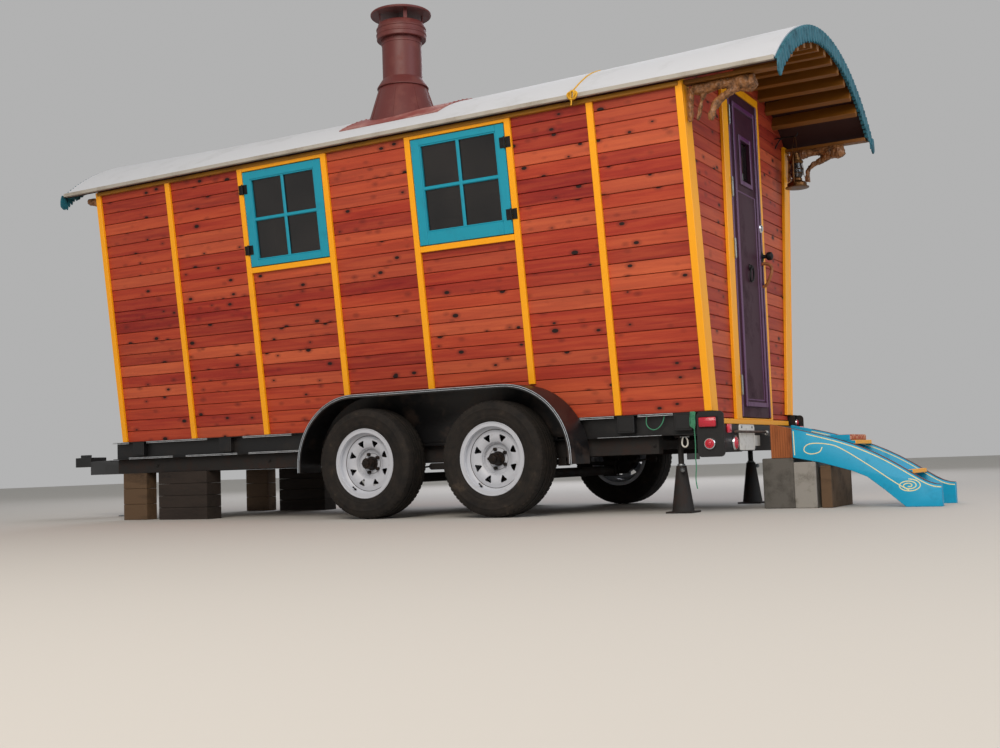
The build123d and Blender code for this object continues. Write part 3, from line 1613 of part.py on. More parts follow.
def make_cord(route):
    """A round cord along a route, with an arc at each bend."""
    spots = [Vector(ahead(place), out, height) for place, out, height in route]
    bends = []
    for before, spot, after in zip(spots, spots[1:], spots[2:]):
        reach = cord_share * min((spot - before).length, (after - spot).length)
        turn = (spot - before).get_angle(after - spot)
        bends.append(reach / tan(radians(turn / 2)))
    print("cord radii", [round(bend) for bend in bends])
    with BuildPart() as cord:
        with BuildLine() as line:
            FilletPolyline(*spots, radius=bends)
        with BuildSketch(Plane(origin=line.line @ 0, z_dir=line.line % 0)):
            Circle(cord_radius)
        sweep(path=line.line)
    return cord


write(make_cord(tail_route), "cord_tail")
write(make_cord(loop_route), "cord_loop")
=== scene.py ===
# %% [markdown]
# # A painted living wagon on a tandem trailer
# This lesson dresses a CAD model of a wooden living wagon. The CAD nodes give every place and size, and
# Blender gives the boards, paint, rubber and rust.

import random
from functools import partial
from math import acos, asin, atan, cos, pi, radians, sin, sqrt

import bmesh
import bpy
from mathutils import Matrix, Vector, noise


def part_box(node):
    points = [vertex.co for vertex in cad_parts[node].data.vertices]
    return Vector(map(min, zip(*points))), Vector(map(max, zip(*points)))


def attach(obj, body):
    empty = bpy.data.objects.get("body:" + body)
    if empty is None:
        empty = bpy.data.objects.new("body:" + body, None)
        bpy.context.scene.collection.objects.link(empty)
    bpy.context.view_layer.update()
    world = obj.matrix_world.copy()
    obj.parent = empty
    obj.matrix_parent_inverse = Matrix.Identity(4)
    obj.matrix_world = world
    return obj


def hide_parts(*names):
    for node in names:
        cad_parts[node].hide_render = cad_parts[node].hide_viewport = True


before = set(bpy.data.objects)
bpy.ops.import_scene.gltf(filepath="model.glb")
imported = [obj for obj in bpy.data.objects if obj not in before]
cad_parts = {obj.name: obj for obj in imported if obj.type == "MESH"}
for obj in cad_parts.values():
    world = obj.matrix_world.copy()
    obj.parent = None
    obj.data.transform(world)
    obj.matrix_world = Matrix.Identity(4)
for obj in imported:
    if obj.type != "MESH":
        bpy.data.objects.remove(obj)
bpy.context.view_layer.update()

# %% [markdown]
# Sizes are real ones in millimetres, and Blender works in metres, so one factor turns them. Places along
# the wagon are told from the middle between its two axles, as on the real trailer, where the spring
# hangers are measured from that point.

# %% Sizes that many pieces share
MM = 0.001
MIDDLE = 0.5 * (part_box("tyre_front_left")[0][0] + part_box("tyre_rear_left")[1][0])


def spot(ahead, out, up):
    """A place from millimetres ahead of the middle between the axles, left of the middle line, and up."""
    return Vector((MIDDLE + ahead * MM, out * MM, up * MM))


# %% [markdown]
# The camera stands where the photographer stood: low in the grass, behind the left rear corner, and tilted
# a little. Its three axes are given as a heading, a pitch and a roll, so the matrix is built from them.

# %% Camera
CAMERA_PLACE = (-4007.9, 7111.8, 304.5)
CAMERA_HEADING = 0.5159
CAMERA_PITCH = 0.0721
CAMERA_ROLL = -0.035
CAMERA_FOCUS = 1.2456

facing = Vector((
    sin(CAMERA_HEADING) * cos(CAMERA_PITCH),
    -cos(CAMERA_HEADING) * cos(CAMERA_PITCH),
    sin(CAMERA_PITCH),
))
level = facing.cross(Vector((0, 0, 1))).normalized()
rise = level.cross(facing)
right = level * cos(CAMERA_ROLL) + rise * sin(CAMERA_ROLL)
up = rise * cos(CAMERA_ROLL) - level * sin(CAMERA_ROLL)
lens = bpy.data.cameras.new("camera")
lens.sensor_width = 36
lens.lens = lens.sensor_width * CAMERA_FOCUS
lens.clip_end = 200
camera = bpy.data.objects.new("camera", lens)
turned = Matrix((right, up, -facing)).transposed().to_4x4()
turned.translation = spot(*CAMERA_PLACE)
camera.matrix_world = turned
bpy.context.collection.objects.link(camera)
bpy.context.scene.camera = camera

# %% [markdown]
# Colours are written as a painter or a screen gives them, in sRGB hex. Shaders work in linear light, so
# one function turns every colour. A second small function adds any node with its settings and its links.

# %% Colour and node helpers


def linear(code):
    """An sRGB hex colour as linear red, green, blue and alpha."""
    values = [int(code[start:start + 2], 16) / 255 for start in (0, 2, 4)]
    return (*(v / 12.92 if v <= 0.04045 else ((v + 0.055) / 1.055) ** 2.4 for v in values), 1)


def plug(tree, socket, value):
    """Links a node's output to a socket, or writes a plain value into it."""
    if isinstance(value, bpy.types.NodeSocket):
        tree.links.new(value, socket)
    else:
        socket.default_value = value


def node(tree, kind, inputs=None, **settings):
    """Adds a node, sets its properties, and fills or links its inputs."""
    made = tree.nodes.new(kind)
    for name, value in settings.items():
        setattr(made, name, value)
    for name, value in (inputs or {}).items():
        plug(tree, made.inputs[name], value)
    return made


def surface(name, **sockets):
    """A new material with a Principled shader, as (material, tree, shader)."""
    material = bpy.data.materials.new(name)
    material.use_nodes = True
    tree = material.node_tree
    shader = tree.nodes["Principled BSDF"]
    for socket, value in sockets.items():
        shader.inputs[socket.replace("_", " ").title().replace("Ior", "IOR")].default_value = value
    return material, tree, shader


def stretch(tree, scale=(1, 1, 1)):
    """Object coordinates in metres, scaled: the vector of a pattern that stays on the piece."""
    here = node(tree, "ShaderNodeTexCoord").outputs["Object"]
    return node(tree, "ShaderNodeMapping", {"Vector": here, "Scale": scale}).outputs["Vector"]


def ramp(tree, value, stops):
    """A colour ramp from (position, hex colour) pairs, as its colour output."""
    made = node(tree, "ShaderNodeValToRGB", {"Fac": value})
    steps = made.color_ramp.elements
    while len(steps) < len(stops):
        steps.new(0.5)
    for step, (position, code) in zip(steps, stops):
        step.position = position
        step.color = linear(code)
    return made.outputs["Color"]


def speckle(tree, vector, scale, detail, roughness=0.55, distortion=0.0):
    """A noise pattern's value."""
    inputs = {"Vector": vector, "Scale": scale, "Detail": detail, "Roughness": roughness}
    inputs["Distortion"] = distortion
    return node(tree, "ShaderNodeTexNoise", inputs).outputs["Fac"]


def remap(tree, value, start, stop, first, last):
    """A value that goes from first to last while another goes from start to stop."""
    inputs = {"Value": value, 1: start, 2: stop, 3: first, 4: last}
    return node(tree, "ShaderNodeMapRange", inputs).outputs["Result"]


def blend(tree, share, first, second):
    """Two colours, mixed by a share."""
    return node(tree, "ShaderNodeMix", {0: share, 6: first, 7: second}, data_type="RGBA").outputs[2]


def reckon(tree, operation, first, second):
    """A Math node's result."""
    return node(tree, "ShaderNodeMath", {0: first, 1: second}, operation=operation).outputs[0]


def emboss(tree, shader, height, depth, strength=1.0):
    """Bump on a shader from a height value, with its depth in millimetres."""
    made = node(tree, "ShaderNodeBump", {"Height": height, "Distance": depth * MM, "Strength": strength})
    plug(tree, shader.inputs["Normal"], made.outputs["Normal"])


# %% [markdown]
# The boards are softwood, sawn, planed and coated with a red translucent stain. The stain lets the grain
# and the dark knots through, and each board has drunk it differently. So the colour comes in three layers:
# a tone per board, long fine grain, and knots with a darker rim. A number stored on each face of the mesh
# tells the material which board it is on.

# %% Stained softwood boards


def stained_boards(name, along):
    """Red stained softwood whose grain runs along axis 0 for X or 1 for Y."""
    material, tree, shader = surface(name, roughness=0.5, specular_ior_level=0.35)
    tone = node(tree, "ShaderNodeAttribute", attribute_name="tone").outputs["Fac"]
    shift = node(tree, "ShaderNodeCombineXYZ", {"X": reckon(tree, "MULTIPLY", tone, 37.0)}).outputs["Vector"]

    def cells(across, lengthwise):
        """A pattern's vector, with so many cells a metre across the board and along it."""
        scale = [across] * 3
        scale[along] = lengthwise
        return stretch(tree, scale)

    def by_board(vector):
        """The same vector, moved on from board to board."""
        return node(tree, "ShaderNodeVectorMath", {0: vector, 1: shift}, operation="ADD").outputs[0]

    grain = speckle(tree, by_board(cells(42.0, 2.2)), 1.0, 6.0, 0.62, 0.35)
    broad = speckle(tree, cells(6.0, 2.2 / 7), 1.0, 3.0)
    # Knots: up to eight a metre on each board, 8 to 23 mm across, and longer along the grain
    spread = {"Vector": by_board(cells(15.0, 8.5)), "Scale": 1.0, "Randomness": 1.0}
    spots = node(tree, "ShaderNodeTexVoronoi", spread)
    rare = node(tree, "ShaderNodeSeparateColor", {"Color": spots.outputs["Color"]}).outputs["Red"]
    reach = reckon(tree, "SUBTRACT", spots.outputs["Distance"], remap(tree, rare, 0.25, 1.0, 0.06, 0.17))
    knot = remap(tree, reach, 0.0, 0.025, 1.0, 0.0)
    halo = remap(tree, reach, 0.0, 0.22, 0.55, 0.0)
    board = ramp(tree, tone, [
        (0.0, "7C1418"), (0.22, "92201E"), (0.42, "A22C20"), (0.6, "AE3A24"), (0.8, "C9623F"),
        (1.0, "84181C")])
    streak = ramp(tree, grain, [(0.32, "5E120A"), (0.46, "9E2E1C"), (0.62, "C85A32"), (0.75, "A6341E")])
    cloud = ramp(tree, broad, [(0.35, "801C12"), (0.65, "CC6436")])
    colour = blend(tree, 0.34, board, streak)
    colour = blend(tree, 0.18, colour, cloud)
    colour = blend(tree, halo, colour, linear("4C120F"))
    colour = blend(tree, knot, colour, linear("1E0B08"))
    plug(tree, shader.inputs["Base Color"], colour)
    emboss(tree, shader, grain, 0.6, 0.5)
    return material


side_boards = stained_boards("stained_softwood_side", 0)
end_boards = stained_boards("stained_softwood_end", 1)

# %% [markdown]
# Brushed gloss paint on timber is nearly one colour, but the brush leaves faint ridges along the piece,
# and dirt sits in soft patches. Enamel on steel, bare metal, stone and rope behave alike: a clean colour, a
# dirty one, and soft patches where the dirt has settled. So one function makes them all. In a few coats the
# colours also hold painted shade, which is said where those coats are made.

# %% Painted and weathered surfaces


def weathered(name, base, dirt_and_shade, share, patch, grit, ridge=0.25, stretched=(1, 1, 1), **sockets):
    """A coat in base, with patches of a second colour this many millimetres across and a fine grit over it.
    """
    material, tree, shader = surface(name, **sockets)
    place = stretch(tree, stretched)
    cloud = speckle(tree, place, 1000 / patch, 5.0, 0.6)
    fine = speckle(tree, place, 1000 / grit, 3.0, 0.6)
    clean_to = 0.72 - 0.5 * share
    spread = remap(tree, cloud, clean_to, clean_to + 0.22, 0.0, 1.0)
    cover = reckon(tree, "MULTIPLY", spread, remap(tree, fine, 0.3, 0.65, 0.25, 1.0))
    plug(tree, shader.inputs["Base Color"], blend(tree, cover, linear(base), linear(dirt_and_shade)))
    rough = shader.inputs["Roughness"].default_value
    plug(tree, shader.inputs["Roughness"], remap(tree, cover, 0.0, 1.0, rough, min(1.0, rough + 0.3)))
    emboss(tree, shader, fine, ridge, 0.4)
    return material


yellow_paint = weathered("yellow_gloss_paint", "F9A806", "C97A05", 0.22, 260, 14, roughness=0.38)
# Eave boards: yellow paint darkened to ochre, a painted shade for the shadow under the eave
shaded_eave_paint = weathered("yellow_paint_in_painted_shade", "A06A0A", "6A4406", 0.4, 200, 12, roughness=0.45)
turquoise_paint = weathered("turquoise_gloss_paint", "1594AD", "0D7890", 0.3, 160, 12, roughness=0.36)
# Valance paint: turquoise, darker than the sashes' and with dark patches; this darkness is partly painted
# shade for the fringe's recesses
valance_paint = weathered("turquoise_paint_with_painted_shade", "1C6474", "123F4C", 0.5, 60, 10, roughness=0.5)
purple_paint = weathered(
    "plum_satin_paint", "3A1628", "28101C", 0.4, 190, 12, roughness=0.5, specular_ior_level=0.3)
plum_moulding = weathered("plum_moulding_paint", "5A2C58", "3C1C3C", 0.3, 120, 10, roughness=0.35)
roof_coating = weathered("elastomeric_roof_coating", "C9CCD1", "B2B4B6", 0.4, 420, 16, 0.6, roughness=0.62)
roof_edging = weathered("weathered_drip_edge", "A9A49A", "8A8072", 0.5, 150, 9, roughness=0.6)
black_enamel = weathered("black_chassis_enamel", "0B0B0D", "2C2621", 0.36, 170, 7, roughness=0.46)
under_steel = weathered("rusty_under_steel", "15110F", "32201A", 0.5, 90, 6, 0.5, roughness=0.75)
zinc = weathered("zinc_plated_steel", "8C9194", "5F5A52", 0.45, 80, 5, roughness=0.42, metallic=0.85)
wheel_enamel = weathered("white_wheel_enamel", "B9BDC5", "6E5D4E", 0.2, 60, 6, roughness=0.38)
black_iron = weathered("black_iron", "141315", "2B2622", 0.4, 40, 4, roughness=0.5, metallic=0.4)
greasy_iron = weathered(
    "greasy_cast_iron", "1E1713", "4A372A", 0.45, 30, 4, 0.4, roughness=0.34, metallic=0.5)
chimney_paint = weathered("red_oxide_enamel", "5C2421", "6E3A33", 0.42, 90, 7, 0.4, roughness=0.5)
flashing_paint = weathered("red_oxide_flashing", "8C4640", "B98E86", 0.5, 130, 6, 0.5, roughness=0.55)
porch_timber = weathered("oiled_purlin", "825010", "452706", 0.45, 160, 10, 0.4, (0.15, 1, 1), roughness=0.5)
under_roof = weathered("dark_roof_boards", "33120C", "1C0806", 0.5, 200, 12, 0.5, (0.2, 1, 1), roughness=0.7)
step_paint = weathered(
    "turquoise_step_paint", "0296BE", "047C9E", 0.35, 120, 10, roughness=0.42, specular_ior_level=0.3)
maroon_paint = weathered("maroon_lining_paint", "4E1420", "34101A", 0.3, 60, 8, roughness=0.42)
cream_line = weathered("cream_lining_paint", "E9DFA8", "C9B86E", 0.3, 60, 8, roughness=0.4)
# Coir, timber and concrete: matt, with a coarse grit
coir_mat = weathered("coir_mat", "A2543E", "E0C9A8", 0.5, 16, 3, 1.2, roughness=0.9)
dark_timber = weathered("creosoted_timber", "2A2019", "171210", 0.5, 110, 7, 0.8, (0.2, 1, 1), roughness=0.8)
landing_timber = weathered(
    "stained_landing_boards", "94501F", "5A2C10", 0.5, 90, 8, 0.5, (1, 1, 0.2), roughness=0.6)
grey_timber = weathered("weathered_timber", "5C4630", "33261A", 0.5, 110, 7, 0.8, (0.2, 1, 1), roughness=0.8)
# Grey concrete, its colour darkened as painted shade for the shadow under the steps
concrete = weathered("grey_concrete_in_painted_shade", "5C5954", "3B3833", 0.5, 70, 4, 1.2, roughness=0.9)
pale_block = weathered("pale_concrete_block", "8F8C86", "5E5A52", 0.45, 70, 4, 1.0, roughness=0.85)
plate_face = weathered("blank_plate_enamel", "D9D8D2", "A7A296", 0.4, 40, 4, roughness=0.35)
bent_branch = weathered("peeled_branch", "9A5A2C", "5A2E14", 0.45, 40, 5, 0.6, roughness=0.5)
lantern_tin = weathered("aged_brass_lantern", "5A3A1C", "8F6A3A", 0.4, 40, 4, roughness=0.35, metallic=0.8)
# Pale strips on the rails' flange edges: painted highlights where light catches them, bright and slightly
# bluish
rail_edge_highlight = weathered("painted_edge_highlight", "B9BEC4", "5B5E60", 0.45, 30, 3, roughness=0.4)
pinstripe = weathered("pale_pinstripe", "B4BCC4", "6A6E70", 0.45, 30, 3, roughness=0.4)
# Fender enamel: black, dulled by road dust and brown where stones have worn it
fender_enamel = weathered("dusty_black_enamel", "101012", "4A3A30", 0.42, 150, 6, 0.5, roughness=0.42)
# Gnarled root: orange-brown, partly a painted highlight on its knobs, with near-black patches as painted
# shade in its gaps
root_wood = weathered("root_with_painted_light", "94643A", "1C0E06", 0.6, 34, 6, 1.0, roughness=0.42)
green_braid = weathered("green_braided_cord", "3E8464", "1F4A38", 0.45, 12, 2, 0.5, roughness=0.75)
yellow_rope = weathered("yellow_poly_rope", "D6A21E", "8E6A12", 0.45, 14, 3, 0.5, roughness=0.6)
chrome = weathered("chrome_plate", "D5D6D8", "8F8B84", 0.3, 30, 3, roughness=0.15, metallic=1.0)
# Bare tube that has gone brown: dull, with soft patches
bar_steel = weathered("browned_steel_tube", "4A3A32", "2A201B", 0.5, 60, 5, 0.4, roughness=0.55)
cabin_timber = weathered("pale_inner_boards", "8E6B47", "6B4D30", 0.4, 200, 14, 0.3, roughness=0.7)

# %% [markdown]
# Tyre rubber is a dark polymer filled with soot. After years outside it goes grey-brown with dust, most of
# all on the bulge of the sidewall, and stays matt everywhere.

# %% Rubber, lenses and glass
tyre_rubber, tree, shader = surface("dusty_tyre_rubber", roughness=0.85, specular_ior_level=0.3)
dust = speckle(tree, stretch(tree), 14.0, 6.0, 0.7)
dusty = ramp(tree, dust, [(0.35, "161413"), (0.6, "26211D"), (0.8, "453B31")])
plug(tree, shader.inputs["Base Color"], dusty)
emboss(tree, shader, speckle(tree, stretch(tree), 260.0, 2.0), 0.3, 0.4)

red_lens, tree, shader = surface("red_acrylic_lens", roughness=0.18, ior=1.49, coat_weight=0.6)
waves = {"Vector": stretch(tree), "Scale": 90.0, "Distortion": 0.0}
prisms = node(tree, "ShaderNodeTexWave", waves).outputs["Fac"]
plug(tree, shader.inputs["Base Color"], ramp(tree, prisms, [(0.0, "9C0F22"), (1.0, "D0203A")]))
emboss(tree, shader, prisms, 0.5, 0.5)

# The glass is tinted dark grey as painted shade, so the panes read as dark as the unlit cabin behind them
window_glass, tree, shader = surface("old_window_glass", roughness=0.03, ior=1.5, transmission_weight=0.72)
glass_shade_tint = speckle(tree, stretch(tree), 2.2, 2.0)
plug(tree, shader.inputs["Base Color"], ramp(tree, glass_shade_tint, [(0.3, "2B2A2A"), (0.7, "4A4542")]))
emboss(tree, shader, glass_shade_tint, 0.5, 0.1)
print("materials", len(bpy.data.materials))

# %% [markdown]
# A few helpers build nearly every piece. A plank is a box between four corners and a depth, with its edges
# eased, because sawn and painted timber has no razor edges. A lathe turns a profile round an axis, as a spun
# or turned part is made. Rods are round bars, bent along lists of places. The last step takes a finished
# mesh into the scene, and says which body it rides on and which CAD nodes it stands for.

# %% Shape helpers
WELD = 0.05


def opened(mesh):
    """A new bmesh with a mesh's shape."""
    shape = bmesh.new()
    shape.from_mesh(mesh)
    return shape


def eased(shape, edges, ease, clamped=False):
    """Takes the edges off by so many millimetres."""
    bmesh.ops.bevel(shape, geom=list(edges), offset=ease * MM, segments=1, profile=0.5, affect="EDGES",
                    material=-1, clamp_overlap=clamped)


def plank(shape, corners, depth, ease=1.5, tone=0.5):
    """Adds a box whose face has these four corners, in order, and which goes depth deep behind them."""
    made = bmesh.ops.create_cube(shape, size=1.0)["verts"]
    for vert in made:
        across, along, deep = (value + 0.5 for value in vert.co)
        near = corners[0].lerp(corners[1], across)
        far = corners[3].lerp(corners[2], across)
        vert.co = near.lerp(far, along) + depth * deep
    layer = shape.faces.layers.float.get("tone") or shape.faces.layers.float.new("tone")
    for face in {face for vert in made for face in vert.link_faces}:
        face[layer] = tone
    if ease:
        eased(shape, {edge for vert in made for edge in vert.link_edges}, ease)


def slab(shape, place, left, right, low, high, proud, depth, ease=1.5, tone=0.5):
    """A plank on a face for which place(across, up, proud) gives a point, all in millimetres."""
    corners = [place(x, z, proud) for x, z in ((left, low), (right, low), (right, high), (left, high))]
    plank(shape, corners, place(left, low, proud - depth) - corners[0], ease, tone)


def block(shape, low, high, ease=1.5, tone=0.5):
    """Adds a box between two places given by spot()."""
    outline = ((low.x, low.y), (high.x, low.y), (high.x, high.y), (low.x, high.y))
    plank(shape, [Vector((x, y, low.z)) for x, y in outline], Vector((0, 0, high.z - low.z)), ease, tone)


def flank(shape, side, rear, front, inner, outer, low, high, ease=1.5, tone=0.5):
    """Adds a box on the left (1) or right (-1) side, between two lengths out from the middle line."""
    rightward, leftward = sorted((side * inner, side * outer))
    block(shape, spot(rear, rightward, low), spot(front, leftward, high), ease, tone)


def lathe(shape, profile, centre, axis, steps):
    """Turns a profile of (radius, along) pairs in millimetres round an axis through centre."""
    axis = Vector(axis).normalized()
    side = axis.orthogonal().normalized()
    verts = [shape.verts.new(centre + side * (radius * MM) + axis * (along * MM))
             for radius, along in profile]
    edges = [shape.edges.new(pair) for pair in zip(verts, verts[1:])]
    bmesh.ops.spin(
        shape, geom=verts + edges, cent=centre, axis=axis, angle=2 * pi, steps=steps, use_merge=True)
    bmesh.ops.remove_doubles(shape, verts=shape.verts, dist=WELD * MM)


def full_turn(steps):
    """Angles once round, with the first place again at the end."""
    return [2 * pi * step / steps for step in range(steps + 1)]


def shells(shape):
    """The separate shells of a shape, each as a list of its faces."""
    waiting = set(shape.faces)
    while waiting:
        shell = [waiting.pop()]
        for face in shell:
            for edge in face.edges:
                for other in edge.link_faces:
                    if other in waiting:
                        waiting.remove(other)
                        shell.append(other)
        yield shell


def turn_outwards(shape):
    """Makes a shell's faces agree, then turns each shell whose volume comes out negative."""
    bmesh.ops.recalc_face_normals(shape, faces=shape.faces)
    shape.normal_update()
    for shell in shells(shape):
        middle = sum((face.verts[0].co for face in shell), Vector()) / len(shell)
        if sum((face.verts[0].co - middle).dot(face.normal) * face.calc_area() for face in shell) < 0:
            bmesh.ops.reverse_faces(shape, faces=shell)


def piece(shape, name, material, body="wagon", slot=None, replaces=(), smooth=35.0):
    """Closes a bmesh and takes it into the scene as one named piece."""
    turn_outwards(shape)
    mesh = bpy.data.meshes.new(name)
    shape.to_mesh(mesh)
    shape.free()
    thing = bpy.data.objects.new(name, mesh)
    bpy.context.collection.objects.link(thing)
    mesh.materials.append(material)
    mesh.shade_smooth()
    mesh.set_sharp_from_angle(angle=radians(smooth))
    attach(thing, body)
    if replaces:
        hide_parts(*replaces)
    return thing


def softened(name, material, ease, body="wagon", slot=None, merge=0.02):
    """A copy of a CAD node with eased edges, which stands for it."""
    shape = opened(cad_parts[name].data)
    bmesh.ops.remove_doubles(shape, verts=shape.verts, dist=merge * MM)
    bmesh.ops.dissolve_limit(shape, angle_limit=radians(2), verts=shape.verts, edges=shape.edges)
    sharp = [edge for edge in shape.edges if edge.is_manifold and edge.calc_face_angle(0) > radians(30)]
    eased(shape, sharp, ease, clamped=True)
    return piece(shape, f"{name}_dressed", material, body, slot, (name,))


def bent(name, runs, radius, kind, rounding=2, steps=6):
    """A curve with a round section, along lists of places."""
    curve = bpy.data.curves.new(name, "CURVE")
    curve.dimensions = "3D"
    curve.bevel_depth = radius * MM
    curve.bevel_resolution = rounding
    curve.resolution_u = steps
    curve.use_fill_caps = True
    for run in runs:
        line = curve.splines.new(kind)
        line.points.add(len(run) - 1)
        for point, place in zip(line.points, run):
            point.co = (*place, 1)
        if kind == "NURBS":
            line.order_u = 3
            line.use_endpoint_u = True
    return curve


def rods(name, runs, radius, material, body="wagon", slot=None, kind="POLY"):
    """Round bars along lists of places, as one mesh piece."""
    holder = bpy.data.objects.new(name, bent(name, runs, radius, kind))
    mesh = bpy.data.meshes.new_from_object(holder)
    bpy.data.objects.remove(holder)
    shape = opened(mesh)
    # The caps come loose from the bar, so they are welded to it
    bmesh.ops.remove_doubles(shape, verts=shape.verts, dist=WELD * MM)
    return piece(shape, name, material, body, slot, smooth=60.0)


# %% [markdown]
# The green cords come first, because they are the only loose things on the wagon. Each is a thin braided
# line tied to the deck rail: one end hangs nearly to the grass, and a short length sags as a loop under the
# rail's top flange. A spline of order three runs smoothly past its given points.

# %% Green cords
CORD_THICK = 6.0
# The smooth cord is a little shorter than the straight lines between its points
TAIL_ROUTE = (
    (-1600.0, 748.3, 547.0), (-1595.0, 751.0, 495.0), (-1593.0, 753.0, 452.0), (-1596.0, 754.0, 405.0),
    (-1595.5, 752.0, 350.0), (-1593.0, 753.0, 300.0), (-1597.0, 755.0, 252.0), (-1591.0, 754.0, 208.0),
    (-1589.0, 752.0, 170.0), (-1597.0, 753.0, 135.0),
)
LOOP_ROUTE = (
    (-1314.0, 735.0, 543.8), (-1306.0, 735.5, 508.0), (-1314.0, 736.0, 482.0), (-1333.0, 735.0, 466.0),
    (-1354.0, 734.0, 461.0), (-1377.0, 735.0, 469.0), (-1396.0, 736.0, 486.0), (-1410.0, 735.0, 509.0),
    (-1418.0, 734.0, 543.8),
)


def green_cord(name, route):
    """A cord along its route, which takes the place of its CAD node."""
    places = [spot(*place) for place in route]
    curve = bent(name, (places,), CORD_THICK / 2, "NURBS", rounding=3, steps=12)
    cord = bpy.data.objects.new(name, curve)
    bpy.context.collection.objects.link(cord)
    curve.materials.append(green_braid)
    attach(cord, "wagon")
    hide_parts(name.replace("green", "cord"))
    length = sum((after - before).length for before, after in zip(places, places[1:]))
    tuple(spot(*route[0]))
    print(name, "length", round(length, 3), "m")


green_cord("green_tail", TAIL_ROUTE)
green_cord("green_loop", LOOP_ROUTE)

# %% [markdown]
# The living box widens towards the eave, so its long walls lean out by about seven degrees. Boards, battens
# and sashes all lie in that leaning plane. One function gives a place on it from three lengths a carpenter
# would use: along the wagon, up the wall, and proud of the boards.

# %% The leaning side wall
DECK, EAVE = 550.0, 2307.0
HALF_DECK, HALF_EAVE = 725.0, 951.0
BOX_REAR, BOX_FRONT = -1673.0, 2679.0
WALL = 60.0
TRIM = 20.0
FLARE = atan((HALF_EAVE - HALF_DECK) / (EAVE - DECK))


def on_side(side, ahead, along, proud=0.0):
    """A place on the left (1) or right (-1) wall, up its slope from the deck and proud of its boards."""
    out = HALF_DECK + along * sin(FLARE) + proud * cos(FLARE)
    return spot(ahead, side * out, DECK + along * cos(FLARE) - proud * sin(FLARE))


def slope(height):
    """Length up the wall's slope to a height."""
    return (height - DECK) / cos(FLARE)


def half_width(height):
    """Half the box's width at a height."""
    return HALF_DECK + (height - DECK) * (HALF_EAVE - HALF_DECK) / (EAVE - DECK)


def side_plank(shape, side, *sizes):
    """A board on a long wall: rear, front, foot, head, proud, depth, ease and tone."""
    slab(shape, partial(on_side, side), *sizes)


# %% [markdown]
# The roof is bowed across, and it also dips a little in the middle of its length, as the camera shows. Its
# bow keeps one width while its rise changes, so the radius follows from both. Walls, purlins and valances
# need the same bow, so it is a function.

# %% The bowed roof's shape
ROOF_REAR, ROOF_DIP, ROOF_FRONT = -2212.0, 700.0, 2957.0
RISE_REAR, RISE_DIP, RISE_FRONT = 412.0, 364.0, 400.0
ROOF_HALF = 1023.0
ROOF_THICK = 36.0


def bow(ahead):
    """Radius and centre height of the roof's outer face at a place along the wagon."""
    a, b, c = ROOF_REAR, ROOF_DIP, ROOF_FRONT
    rise_here = (RISE_REAR * (ahead - b) * (ahead - c) / ((a - b) * (a - c))
                 + RISE_DIP * (ahead - a) * (ahead - c) / ((b - a) * (b - c))
                 + RISE_FRONT * (ahead - a) * (ahead - b) / ((c - a) * (c - b)))
    radius = (ROOF_HALF ** 2 + rise_here ** 2) / (2 * rise_here)
    return radius, EAVE + rise_here - radius


def under_bow(ahead, height):
    """Half width of the space under the roof at a height."""
    radius, middle = bow(ahead)
    reach = (radius - ROOF_THICK) ** 2 - (height - middle) ** 2
    return sqrt(reach) if reach > 0 else 0.0


def on_bow(ahead, angle, lift):
    """A place on the bow at an angle from its crown, lifted off the roof's outer face."""
    radius, middle = bow(ahead)
    return spot(ahead, (radius + lift) * sin(angle), middle + (radius + lift) * cos(angle))


# %% [markdown]
# The long walls are cut board by board, 77 mm wide as counted in the photograph. Behind them the wall has
# an air gap and an inner lining, so the cabin is hollow and its openings show their depth. Board ends meet
# under the battens, where a carpenter hides them.

# %% Long walls
BOARD = 77.0
BOARD_DEEP = 22.0
BOARD_GAP = 3.2
BOARD_EASE = 2.6
BOARD_TOP = 2321.0
END_GAP = 0.6
SLIVER = 12.0
LINING_DEEP = 12.0
REVEAL = 19.0
CUTS = (2679.0, 2024.5, 1384.5, 702.5, 69.0, -620.5, -1143.5, -1673.0)
SASH_GAP = 5.0
WINDOWS = {
    # bay: name, rear edge, front edge, lower and upper edge, lower and upper rail, hinge side
    2: ("front", 722.0, 1365.0, 1645.0, 2255.0, 42.0, 50.0, 1),
    4: ("rear", -601.0, 49.5, 1630.0, 2258.0, 76.0, 38.0, -1),
}
chance = random.Random(11)


def rows_between(foot, head, pitch, start=0.0):
    """Board edges from foot to head, on a grid of pitch from start, with no sliver among them."""
    first = int((foot - start) // pitch) + 1
    edges = [start + pitch * index for index in range(first, first + int((head - foot) // pitch) + 2)]
    edges = [foot] + [edge for edge in edges if foot + SLIVER < edge < head - SLIVER] + [head]
    return list(zip(edges, edges[1:]))


def window_gap(window):
    """Rear, front, lower and upper edge of a window's opening; the last two are lengths up the slope."""
    rear, front, low, high = window[1:5]
    return rear, front, slope(low) - SASH_GAP, slope(high) + SASH_GAP


